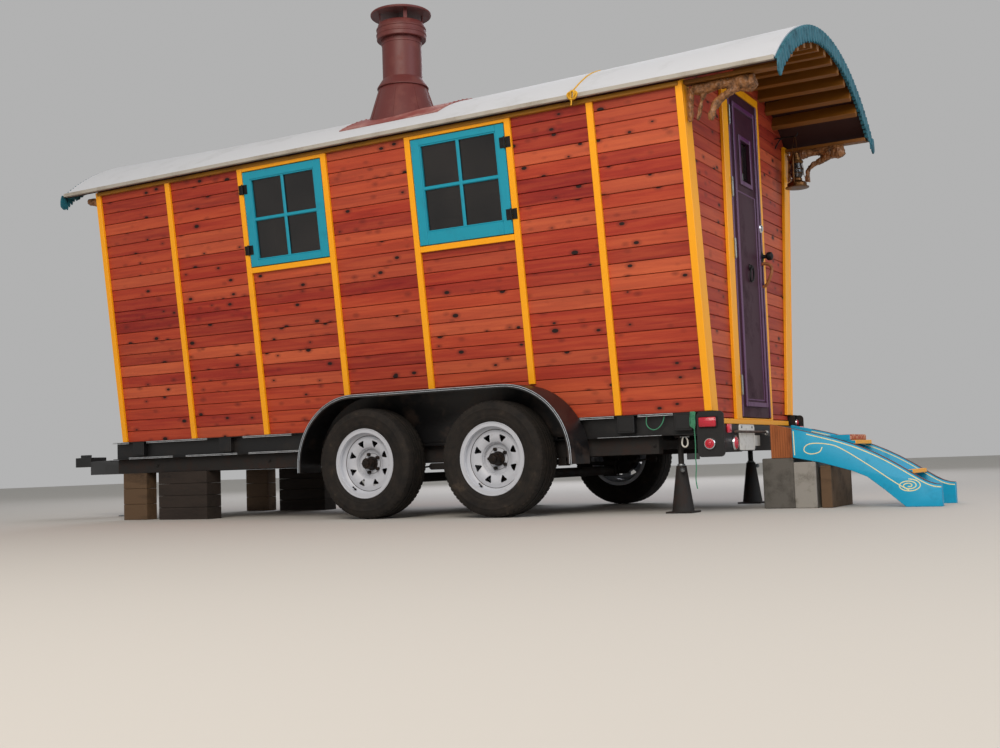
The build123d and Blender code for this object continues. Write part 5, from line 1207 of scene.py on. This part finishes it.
wires.append([place for place in bail if place.z > (LANTERN_FOOT + 190) * MM])
rods("lantern_wires", wires, 1.8, lantern_tin, slot="lantern_tin")
hook = [spot(ahead, LANTERN_Y, HOOK_Z + height) for ahead, height in (
    (BOX_REAR - 1, 4), (BOX_REAR - 60, 4), (LANTERN_X - 4, -2), (LANTERN_X - 18, 6), (LANTERN_X - 20, 22))]
brace = [spot(BOX_REAR + ahead, LANTERN_Y, HOOK_Z + height) for ahead, height in (
    (-2, -62), (-12, -30), (-44, 0))]
rods("lantern_hook", (hook, brace), 4.6, black_iron, slot="door_iron", kind="NURBS")

# %% [markdown]
# The trailer below is welded steel in black paint, and the road has dulled it. Its side rails are channels.
# Pale strips laid on the edges of their flanges are painted highlights: two bright lines, which stop where
# stake pockets are welded in.

# %% Deck rails
RAIL_OUT, RAIL_PLATE, RAIL_DEEP = 745.0, 5.0, 45.0
rail_low, rail_high = [place[2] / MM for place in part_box("deck_rails")]
TOP_LINES = ((2640, 2800), (1905, 2470), (1176, 1590), (-1118, -905), (-1470, -1262))
LOW_LINES = ((2222, 2640), (1639, 2100), (960, 1542))
POCKETS = (2552.0, 1748.0, -1186.0, -1525.0)
softened("deck_rails", black_enamel, 1.2, slot="black_steel")
softened("deck", cabin_timber, 1.5, slot="bare_timber")
shape, highlight_lines = bmesh.new(), bmesh.new()
for side in (1, -1):
    for place in POCKETS:
        flank(shape, side, place - 52, place + 52, RAIL_OUT - RAIL_DEEP + RAIL_PLATE, RAIL_OUT - 1,
              rail_low + 22, rail_high - 1.5, 2.5)
        flank(shape, side, place - 40, place + 40, RAIL_OUT - 1.4, RAIL_OUT + 1,
              rail_low + 32, rail_high - 12, 1.5)
    # Pale strips along the flange edges: painted highlights where light catches them
    highlight_strips = [(*line, rail_high + lift, 3.2) for line in TOP_LINES for lift in (-4.2, -12.5)]
    highlight_strips += [(*line, rail_low + lift, 3.0) for line in LOW_LINES for lift in (1, 8.5)]
    for rear, front, height, tall in highlight_strips:
        flank(highlight_lines, side, rear, front, RAIL_OUT - 1, RAIL_OUT + 0.8, height, height + tall, 0.4)
    # A pale strip on the lower flange at the rear: a painted highlight too
    flank(highlight_lines, side, -1400, -1012, RAIL_OUT - 1, RAIL_OUT + 0.6, rail_low + 1, rail_low + 3, 0.3)
piece(shape, "stake_pockets", black_enamel, slot="black_steel")
piece(highlight_lines, "painted_edge_highlights", rail_edge_highlight, slot="grey_steel")

# %% [markdown]
# Each fender is one pressed sheet over both tyres. Two thin pale stripes follow its lip. They are laid as
# narrow bars along a line that runs up, round the corner, and down again.

# %% Fenders
FENDER_REAR, FENDER_FRONT, FENDER_LOW, FENDER_CORNER, FENDER_OUT = -965.0, 940.0, 290.0, 430.0, 985.0


def fender_run(side, inset, out):
    """Places along the fender's side view, inset from its outer edge."""
    corner, level = FENDER_CORNER - inset, FENDER_TOP - FENDER_CORNER
    run = [spot(FENDER_REAR + inset, side * out, FENDER_LOW + 2)]
    for middle, start in ((FENDER_REAR + FENDER_CORNER, pi), (FENDER_FRONT - FENDER_CORNER, pi / 2)):
        for step in range(17):
            angle = start - pi / 2 * step / 16
            run.append(spot(middle + corner * cos(angle), side * out, level + corner * sin(angle)))
    run.append(spot(FENDER_FRONT - inset, side * out, FENDER_LOW + 2))
    return run


stripes = [fender_run(side, inset, FENDER_OUT + 0.2) for side in (1, -1) for inset in (3.5, 13.0)]
rods("fender_stripes", stripes, 1.7, pinstripe, slot="grey_steel")
for side_name in ("left", "right"):
    softened(f"fender_{side_name}", fender_enamel, 1.5, slot="black_steel")

# %% [markdown]
# The tyres are radial trailer tyres with worn shoulders. A lathe gives the ribs and the rings on the
# sidewall, and a loop lays the shoulder blocks, because a lathe can only turn what runs all the way round.
# The rims are pressed steel with rolled edges, eight windows and five nuts.

# %% Wheels
TRACK, AXLE_REACH, HUB_Z = 1742.0, 445.0, 336.0
SHOULDER_BLOCKS = 68
BLOCK_OUT, BLOCK_REACH = 75.0, 329.5
VALVE_TURN = radians(300)
VALVE_REACH, VALVE_OUT = 179.0, 64.0
# Half the tyre's section, from the middle of the tread to the bead: how far out, and the radius there
TYRE_HALF = (
    (0, 334), (7, 334), (8, 327), (14, 327), (15, 334.4), (38, 334), (39, 326.5), (46, 326.5), (47, 333.4),
    (70, 331.5), (84, 326), (92, 320), (96, 312), (99.5, 298), (101, 290), (102.5, 288), (102.5, 283),
    (101.5, 281), (102.3, 262), (101, 244), (99.8, 242), (99.8, 238), (100.4, 236), (97, 226), (92, 217),
    (89, 212), (84, 209.5), (83.4, 191),
)
tyre_section = [(radius, -out) for out, radius in reversed(TYRE_HALF[1:])]
tyre_section += [(radius, out) for out, radius in TYRE_HALF]
wheels = [(f"{end}_{side_name}", spot(ahead, side * TRACK / 2, HUB_Z), Vector((0, side, 0)))
          for side_name, side in (("left", 1), ("right", -1))
          for end, ahead in (("front", AXLE_REACH), ("rear", -AXLE_REACH))]


def shoulder_block(shape, hub, turn, out):
    """One block of the tread's shoulder, turned round the hub."""
    for vert in bmesh.ops.create_cube(shape, size=1.0)["verts"]:
        at = Vector((vert.co.x * 19, out + vert.co.y * 26, BLOCK_REACH + vert.co.z * 9))
        # The outer edge falls away with the tread
        if abs(at.y) > 80:
            at.z -= 6.5
        vert.co = hub + turn @ (at * MM)


for name, hub, outward in wheels:
    body = f"wheel_{name}"
    shape = bmesh.new()
    lathe(shape, tyre_section, hub, outward, 112)
    for index in range(SHOULDER_BLOCKS):
        for row in (0, 1):
            turn = Matrix.Rotation(pi * (2 * index + row) / SHOULDER_BLOCKS, 4, "Y")
            shoulder_block(shape, hub, turn, outward.y * BLOCK_OUT * (1 - 2 * row))
    piece(shape, f"dressed_tyre_{name}", tyre_rubber, body, "tyre_rubber", (f"tyre_{name}",), 32.0)
    softened(f"rim_{name}", wheel_enamel, 1.0, body, "white_steel", 0.05)
    softened(f"hub_{name}", greasy_iron, 1.0, body, "hub_iron", 0.05)
    shape = bmesh.new()
    lathe(shape, (
        (0, 4), (40, 4), (42, 6), (42, 15), (39, 19), (34, 20), (33, 24), (33, 44), (30, 49), (24, 52),
        (23, 56), (23, 74), (20, 79), (12, 81), (0, 82)), hub, outward, 40)
    piece(shape, f"hub_cap_{name}", greasy_iron, body, "hub_iron")
    shape = bmesh.new()
    towards = Vector((cos(VALVE_TURN), 0, sin(VALVE_TURN)))
    valve = hub + (towards * VALVE_REACH + outward * VALVE_OUT) * MM
    lathe(shape, ((0, -6), (6, -6), (6.5, 4), (4.2, 8), (4.2, 30), (5.2, 31), (5.2, 40), (0, 41)), valve,
          outward - towards * 0.5, 14)
    piece(shape, f"valve_{name}", black_iron, body, "hub_iron")
print("wheels dressed")

# %% [markdown]
# The rims are pressed in steps, which catch the light as rings, with thin dark rings between them as painted
# shade in the creases.
# Each ring is a round bar bent into a circle and laid on the barrel, so it is turned separately.

# %% Rim rings
# Radius, how far out from the middle of the wheel, and half the ring's own width
ROLLED_RINGS = (
    (208.6, 88.4, 3.4), (196.0, 85.8, 2.8), (184.8, 76.0, 2.4), (184.8, 63.0, 2.0), (90.0, 24.0, 1.6))
# Dark rings of black iron: painted shade in the creases between the rim's steps
PAINTED_SHADE_RINGS = ((202.3, 87.6, 1.1), (190.3, 83.5, 1.1), (168.0, 42.6, 1.7), (62.0, 8.0, 1.0))

for name, hub, outward in wheels:
    for kind, rows, material, slot in (
        ("rings", ROLLED_RINGS, wheel_enamel, "white_steel"), ("seams", PAINTED_SHADE_RINGS, greasy_iron, "hub_iron"),
    ):
        shape = bmesh.new()
        for radius, out, wide in rows:
            section = [(radius + wide * cos(t), out + wide * sin(t)) for t in full_turn(8)]
            lathe(shape, section, hub, outward, 72)
        piece(shape, f"rim_{kind}_{name}", material, f"wheel_{name}", slot, smooth=60.0)

# %% [markdown]
# Under the deck everything is old black paint over rust, thick with road dirt. The main rails, axles and
# springs keep their CAD shapes, and only get eased edges, which pick up the light as rolled steel does.

# %% Chassis, axles and springs
for name, material, ease, body, slot in (
    ("chassis_frame", under_steel, 2.0, "wagon", "rusty_steel"),
    ("axles", under_steel, 1.2, "wagon", "rusty_steel"),
    ("springs", under_steel, 0.8, "wagon", "rusty_steel"),
    ("tongue", black_enamel, 2.0, "wagon", "black_steel"),
    ("coupler", black_enamel, 2.0, "wagon", "black_steel"),
    ("jack_tube", zinc, 1.0, "wagon", "grey_steel"),
    ("jack_leg", zinc, 1.0, "jack", "grey_steel"),
):
    softened(name, material, ease, body, slot)
BOLTS, BOLT_OUT, BOLT_Z = (-1338.0, 0.0, 1400.0, 2410.0), 701.0, 378.0
shape = bmesh.new()
for side in (1, -1):
    for ahead in BOLTS:
        place = spot(ahead, side * BOLT_OUT, BOLT_Z)
        lathe(shape, ((0, 0), (11, 0), (11, 5), (7, 6), (7, 11), (0, 12)), place, Vector((0, side, 0)), 6)
piece(shape, "rail_bolts", under_steel, slot="rusty_steel", smooth=25.0)

# %% [markdown]
# The rear beam carries the lights. Each lamp is a red lens in a thin chrome bezel, and the lens has a
# domed face with rings, which a lathe gives in one go. The rectangular ones are cushions with a rim.

# %% Rear beam and lamps
BEAM_REAR, LAMP_PLATE = -1760.3, 753.3
rear_beam = softened("rear_beam", black_enamel, 2.0, slot="black_steel")
# The bar before the plate is a thin tube, so the solid's stouter one is drawn in towards its middle
BAR_X, BAR_Z, BAR_ROUND, SOLID_BAR_ROUND = -1785.0, 435.0, 7.0, 12.5
bar_middle = spot(BAR_X, 0, BAR_Z)
for vert in rear_beam.data.vertices:
    if vert.co.x < bar_middle.x + SOLID_BAR_ROUND * MM:
        vert.co.x = bar_middle.x + (vert.co.x - bar_middle.x) * 0.5
        vert.co.z = bar_middle.z + (vert.co.z - bar_middle.z) * 0.5
grab_bar = [spot(BAR_X, out, BAR_Z) for out in (110, 642)]
rods("grab_bar", (grab_bar,), BAR_ROUND, bar_steel, slot="grey_steel")
bar_end = [spot(BAR_X + ahead, out, BAR_Z - ahead) for ahead, out in ((0, 118), (0, 92), (3, 74), (14, 68))]
rods("grab_bar_end", (bar_end,), BAR_ROUND + 1.0, plate_face, slot="plate_white", kind="NURBS")
lenses, bezels, rubbers = bmesh.new(), bmesh.new(), bmesh.new()
# Both profiles are shares of the lamp's radius and of how far it stands out
LENS = ((0.8, 0.6), (0.72, 0.8), (0.45, 0.88), (0.42, 0.8), (0.38, 0.9), (0.16, 1), (0, 1))
BEZEL = ((1, 0.2), (0.96, 0.5), (0.88, 0.62), (0.79, 0.6))


def round_lamp(place, axis, radius, reach):
    """A round lamp on a face: its lens, and the bezel round it."""
    lens_profile = [(radius * a, reach * b) for a, b in LENS]
    lathe(lenses, [(0, 0.5), (radius * 0.8, 0.5)] + lens_profile, place, axis, 40)
    inner = (radius * 0.79, 0.4)
    bezel_profile = [(radius * a, reach * b) for a, b in BEZEL]
    lathe(bezels, [inner, (radius * 0.98, 0.4)] + bezel_profile + [inner], place, axis, 40)


ROUND_LAMPS = (
    # ahead, out, height, whether it faces sideways, radius, how far it stands out
    (-1680.0, LAMP_PLATE, 374.0, True, 32.5, 22.0),
    (BEAM_REAR, 600.0, 375.0, False, 40.0, 22.0),
    (-1720.3, 722.5, 501.0, False, 22.0, 15.0),
)
# Rear, front, inner, outer, lower and upper face, and how much the edges are eased
MARKER_RUBBER = (-1725, -1621, LAMP_PLATE + 0.3, LAMP_PLATE + 8, 460, 520, 2.5)
MARKER_LENS = (-1721, -1625, LAMP_PLATE + 7, LAMP_PLATE + 22, 464, 516, 5.0)
BEAM_LENS = (BEAM_REAR - 10, BEAM_REAR - 0.3, 655, 715, 429, 477, 2.5)
for side in (1, -1):
    for ahead, out, height, sideways, radius, reach in ROUND_LAMPS:
        axis = Vector((0, side, 0)) if sideways else REARWARD
        round_lamp(spot(ahead, side * out, height), axis, radius, reach)
    flank(rubbers, side, *MARKER_RUBBER)
    flank(lenses, side, *MARKER_LENS)
    flank(lenses, side, *BEAM_LENS)
piece(lenses, "lamp_lenses", red_lens, slot="lamp_red", replaces=("tail_lamps",), smooth=45.0)
piece(bezels, "lamp_bezels", chrome, slot="grey_steel", smooth=45.0)
piece(rubbers, "lamp_rubbers", black_iron, slot="black_steel")

# %% [markdown]
# The plate and the tag are blank enamelled sheet. The plate is pressed with a raised rim and hangs from two
# screws, so it stands a little off the beam at its lower edge.

# %% Blank plates
softened("plates", plate_face, 0.4, slot="plate_white")
PLATE_Y, PLATE_Z, PLATE_HALF, PLATE_TALL = 385.0, 405.0, 131.0, 71.0
# The pressed rim runs between these two lengths in from the edge, and stops short of the corners
RIM_NEAR, RIM_FAR, RIM_CORNER = 2.0, 5.0, 12.0
across, upright = PLATE_HALF - RIM_CORNER, PLATE_TALL - RIM_CORNER
shape = bmesh.new()
for left, right, low, high in (
    (-across, across, PLATE_TALL - RIM_FAR, PLATE_TALL - RIM_NEAR),
    (-across, across, RIM_NEAR - PLATE_TALL, RIM_FAR - PLATE_TALL),
    (RIM_NEAR - PLATE_HALF, RIM_FAR - PLATE_HALF, -upright, upright),
    (PLATE_HALF - RIM_FAR, PLATE_HALF - RIM_NEAR, -upright, upright),
):
    block(shape, spot(BEAM_REAR - 3.8, PLATE_Y + left, PLATE_Z + low),
          spot(BEAM_REAR - 2.0, PLATE_Y + right, PLATE_Z + high), 0.6)
piece(shape, "plate_rim", plate_face, slot="plate_white")
shape = bmesh.new()
for aside in (-89, 89):
    place = spot(BEAM_REAR - 2, PLATE_Y + aside, 462)
    lathe(shape, ((0, 0), (7, 0), (7.5, 2), (5, 4.5), (0, 5)), place, REARWARD, 12)
piece(shape, "plate_screws", zinc, slot="grey_steel")

# %% [markdown]
# A white bow shackle hangs under the rail beside the jack stand. It is a bent rod with a pin across its
# open end.

# %% Shackle
SHACKLE_X, SHACKLE_Y, SHACKLE_Z = -1516.0, 700.0, 424.0
loop = [spot(SHACKLE_X + 17 * cos(t), SHACKLE_Y, SHACKLE_Z - 40 + 22 * sin(t) * (1.6 if sin(t) > 0 else 1.0))
        for t in [turn + pi / 2 for turn in full_turn(20)]]
rods("shackle", (loop,), 4.5, plate_face, slot="plate_white")
pin = [spot(SHACKLE_X + ahead, SHACKLE_Y, SHACKLE_Z - 6) for ahead in (-26, 26)]
rods("shackle_pin", (pin,), 5.0, zinc, slot="grey_steel")

# %% [markdown]
# The steps are two thick boards cut to a long curve, painted bright turquoise. A cream line follows the top
# edge, and a scroll is painted by hand on each outer side. Painted lines are laid as thin raised strokes,
# because a stroke that is its own mesh keeps its width and its clean edge. Each is a round bar sunk in the
# board until only a strip of ten millimetres shows.

# %% Steps
STEPS_HALF, STRINGER = 225.0, 45.0
LANDING_REAR, LANDING_FRONT = -1968.3, -1845.0
UPPER_EDGE = (
    (-1968, 445), (-2050, 424), (-2118, 405), (-2198, 382), (-2260, 361), (-2324, 337), (-2390, 307),
    (-2460, 271), (-2530, 229), (-2604, 181), (-2650, 152), (-2691, 130), (-2725, 119), (-2755, 116),
)
LINE_INSET = 13.0
STROKE_ROUND, STROKE_SUNK = 12.0, 10.9
softened("stringers", step_paint, 2.0, slot="step_paint")


def stroke(name, side_face, side, runs):
    """Painted lines on a stringer's face: rounds sunk so deep in the board that only a thin strip shows."""
    places = [[spot(x, side_face - side * STROKE_SUNK, z) for x, z in run] for run in runs]
    rods(name, places, STROKE_ROUND, cream_line, slot="step_paint")


def smoothed(points, steps=6):
    """A run of places on a smooth curve through the given ones."""
    run = []
    for index in range(len(points) - 1):
        before = Vector(points[max(index - 1, 0)])
        start, stop = Vector(points[index]), Vector(points[index + 1])
        after = Vector(points[min(index + 2, len(points) - 1)])
        for step in range(steps):
            t = step / steps
            square = 2 * before - 5 * start + 4 * stop - after
            cube = 3 * start - before - 3 * stop + after
            run.append(0.5 * (2 * start + (stop - before) * t + square * t ** 2 + cube * t ** 3))
    return [tuple(place) for place in run] + [tuple(points[-1])]


whole_edge = [(x, z - LINE_INSET) for x, z in UPPER_EDGE]
landing_line = [(-1977, 432), (-1979, 296)]
hook_line = smoothed([
    (-2136, 336), (-2118, 309), (-2070, 300), (-2036, 315), (-2038, 340), (-2066, 356), (-2110, 358),
    (-2160, 352), (-2212, 338), (-2285, 296), (-2402, 216), (-2516, 134), (-2590, 88)])
# The whorl winds out from its middle, and is wider than it is tall
WHORL_X, WHORL_Z, WHORL_TURNS, WHORL_STEPS = -2589, 114, 2.6, 99
whorl = []
for step in range(WHORL_STEPS + 1):
    turn = 2 * pi * WHORL_TURNS * step / WHORL_STEPS - 2.2
    reach = 8 + 50 * step / WHORL_STEPS
    whorl.append((WHORL_X - reach * 1.12 * cos(turn), WHORL_Z + reach * 0.6 * sin(turn)))
for name, face, side in (("left", STEPS_HALF, 1), ("right", -STEPS_HALF, -1)):
    stroke(f"scroll_{name}", face, side, (hook_line, whorl))
    stroke(f"lining_{name}", face, side, (smoothed(whole_edge[1:], 3), landing_line))
stroke("lining_inside", -STEPS_HALF + STRINGER, 1, (smoothed(whole_edge, 3),))

# %% [markdown]
# The top edges of the stringers are lined in dark maroon, and the nosings of the treads in yellow. Both are
# thin boards laid on, which gives them a crisp border against the turquoise.

# %% Edge lining, treads and landing
softened("treads", step_paint, 1.5, slot="bare_timber")
shape = bmesh.new()
for side in (1, -1):
    right, left = sorted((side * (STEPS_HALF - 1), side * (STEPS_HALF - STRINGER + 1)))
    for (rear, rear_z), (front, front_z) in zip(UPPER_EDGE[1:], UPPER_EDGE):
        corners = [spot(x, y, z + 0.4) for x, y, z in (
            (rear, right, rear_z), (front, right, front_z), (front, left, front_z), (rear, left, rear_z))]
        plank(shape, corners, Vector((0, 0, 1.8 * MM)), 0)
piece(shape, "edge_lining", maroon_paint, slot="step_paint")
nosings, mat = bmesh.new(), bmesh.new()
INSIDE = STEPS_HALF - STRINGER - 0.5
NOSING_TALL, NOSING_DEEP = 22.0, 27.0
for rear, top in ((-2313, 369), (-2609, 199)):
    block(nosings, spot(rear, -INSIDE, top - NOSING_TALL), spot(rear + NOSING_DEEP, INSIDE, top), 2.0)
block(mat, spot(-2283, -INSIDE + 1, 369), spot(-2200, INSIDE - 1, 401.5), 3.0)
MAT_RIBS, RIB_STEP = 18, 19.2
for row in range(MAT_RIBS):
    middle = -INSIDE + 18 + row * RIB_STEP
    block(mat, spot(-2286, middle - 4, 374), spot(-2282, middle + 4, 396), 1.0)
piece(nosings, "yellow_nosings", yellow_paint, slot="yellow_paint")
piece(mat, "mat_on_the_tread", coir_mat, slot="red_boards")

landing = bmesh.new()
CHEEK_BOARDS = 9
CHEEK_FACE, CHEEK_FOOT, CHEEK_TOP, CHEEK_RISE = STEPS_HALF + 0.6, 283.0, 445.0, 30.0
LANDING_LONG = LANDING_FRONT - LANDING_REAR
for index in range(CHEEK_BOARDS):
    rear = LANDING_REAR + 0.6 + index * LANDING_LONG / CHEEK_BOARDS
    front = rear + LANDING_LONG / CHEEK_BOARDS - 0.8
    rear_top, front_top = [CHEEK_TOP + (x - LANDING_REAR) * CHEEK_RISE / LANDING_LONG for x in (rear, front)]
    corners = [spot(x, CHEEK_FACE, z) for x, z in (
        (rear, CHEEK_FOOT), (front, CHEEK_FOOT), (front, front_top), (rear, rear_top))]
    plank(landing, corners, Vector((0, -STRINGER * MM, 0)), 0.8, chance.random())
block(landing, spot(LANDING_FRONT - 25, -INSIDE, CHEEK_FOOT), spot(LANDING_FRONT, INSIDE, CHEEK_TOP), 1.5)
piece(landing, "landing_cheek", landing_timber, slot="red_boards")

# %% [markdown]
# Under the steps and the front of the wagon lie blocks of concrete and lengths of timber. They are rough:
# the arrises are chipped, and the faces are pitted.

# %% Footings and stands
BEAM_LOW = 329.7
for name, material, slot, low, high, ease in (
    # name, material, slot, lowest and highest corner, how much the edges are eased
    ("rear_block", concrete, "block_stone", (-1968, -170, 0), (-1790, 225, 282.5), 5.0),
    ("white_block", pale_block, "block_stone", (-2093, -225, 0), (-1968.5, 225, 256.0), 4.0),
    ("step_post", grey_timber, "bare_timber", (-2176, -225, 0), (-2117, 225, 234.0), 3.0),
):
    shape = bmesh.new()
    block(shape, spot(*low), spot(*high), ease)
    piece(shape, name, material, slot=slot, replaces=("footings",) if name == "rear_block" else ())
cribbing, timbers = bmesh.new(), bmesh.new()
PILES = (
    # shape, courses, rear, front, inner and outer length out from the middle line
    (cribbing, 4, 1940, 2385, 575, 720), (timbers, 3, 2520, 2745, 600, 700),
)
for side in (1, -1):
    for shape, courses, rear, front, inner, outer in PILES:
        for course in range(courses):
            low, high = BEAM_LOW * course / courses, BEAM_LOW * (course + 1) / courses - 1.0
            flank(shape, side, rear, front, inner, outer, low, high, 3.0, chance.random())
piece(cribbing, "cribbing", dark_timber, slot="bare_timber")
piece(timbers, "front_timbers", grey_timber, slot="bare_timber")
softened("jack_stands", under_steel, 1.0, slot="rusty_steel")
STAND_X, STAND_OUT, STAND_SCREW_Z = -1450.0, 600.0, 262.0
shape = bmesh.new()
for side in (1, -1):
    top = spot(STAND_X, side * STAND_OUT, STAND_SCREW_Z)
    lathe(shape, ((0, -8), (20, -8), (22, -4), (22, 4), (20, 8), (0, 8)), top, UPWARD, 20)
    lathe(shape, ((0, 0), (4, 0), (4, 46), (9, 50), (13, 58), (13, 64), (9, 72), (0, 75)), top,
          Vector((-0.5, side, -0.5)), 16)
piece(shape, "stand_screws", zinc, slot="grey_steel")

# %% [markdown]
# Two ropes stay tied to the wagon: a yellow one in a knot at the left eave, with its string laid up over the
# roof, and a small hank of the green cord where it passes over the deck rail.

# %% Knots
KNOT_X, KNOT_Y, KNOT_Z = -1078.0, 1031.0, 2322.0
OVER_ROOF = (
    (-1070, 1031, 2330), (-1062, 1012, 2332), (-1050, 975, 2356), (-1047, 933, 2382), (-1044, 865, 2430),
    (-1039, 791, 2476), (-1027, 701, 2524), (-1020, 605, 2568), (-1012, 500, 2606),
)
LOOPS, HANK_TURNS, HANK_STEP = 5, 4, 6.5
runs = [[spot(*place) for place in OVER_ROOF]]
for index in range(LOOPS):
    start = 2 * pi * index / LOOPS
    runs.append([spot(KNOT_X + 20 * cos(t + start) + 4 * index - 8, KNOT_Y + 9 * sin(2 * t + start),
                      KNOT_Z - 6 + 24 * sin(t + start)) for t in full_turn(18)])
runs.append([spot(KNOT_X + ahead, KNOT_Y + out, KNOT_Z + up) for ahead, out, up in (
    (6, 0, 6), (8, 4, -20), (2, 6, -44), (8, 4, -62))])
rods("eave_knot", runs, 4.2, yellow_rope, slot="green_cord", kind="NURBS")
runs = [[spot(ahead - index * HANK_STEP, out, height) for ahead, out, height in (
    (-1574, 748.5, 551), (-1570, 750.5, 520), (-1568, 751, 480 - 5 * index), (-1574, 752, 468 - 5 * index),
    (-1580, 751, 480), (-1578, 750, 520), (-1576, 748.5, 551))] for index in range(HANK_TURNS)]
rods("cord_hank", runs, 2.6, green_braid, slot="green_cord", kind="NURBS")

# %% [markdown]
# A plain pale floor and soft lamps let the wagon's own colours show.

# %% Floor, lamps and world
FLOOR_HALF = 40.0
floor_shape = bmesh.new()
bmesh.ops.create_grid(floor_shape, x_segments=1, y_segments=1, size=FLOOR_HALF)
floor_mesh = bpy.data.meshes.new("floor")
floor_shape.to_mesh(floor_mesh)
floor_shape.free()
floor = bpy.data.objects.new("floor", floor_mesh)
bpy.context.collection.objects.link(floor)
pale_floor, tree, shader = surface("pale_floor", roughness=0.9)
shader.inputs["Base Color"].default_value = linear("BDBAB4")
floor_mesh.materials.append(pale_floor)

world = bpy.data.worlds.new("studio")
bpy.context.scene.world = world
world.use_nodes = True
world.node_tree.nodes["Background"].inputs["Color"].default_value = linear("DCDCDC")
world.node_tree.nodes["Background"].inputs["Strength"].default_value = 0.62


def lamp(name, place, aim, size, power, code):
    """A square soft box at one place that faces another."""
    light = bpy.data.lights.new(name, "AREA")
    light.size = size
    light.energy = power
    light.color = linear(code)[:3]
    holder = bpy.data.objects.new(name, light)
    facing = (aim - place).to_track_quat("-Z", "Y").to_matrix().to_4x4()
    holder.matrix_world = Matrix.Translation(place) @ facing
    bpy.context.collection.objects.link(holder)


WAGON_MIDDLE = Vector((0, 0, 1.4))
lamp("key", Vector((-3.5, 9.0, 6.5)), WAGON_MIDDLE, 6.0, 720, "FFF4E8")
lamp("fill", Vector((-10.0, 1.5, 4.5)), WAGON_MIDDLE, 5.0, 260, "EEF3FF")
lamp("far_side", Vector((3.0, -9.0, 6.0)), WAGON_MIDDLE, 6.0, 380, "F4F4FF")
bpy.context.scene.view_settings.view_transform = "Standard"
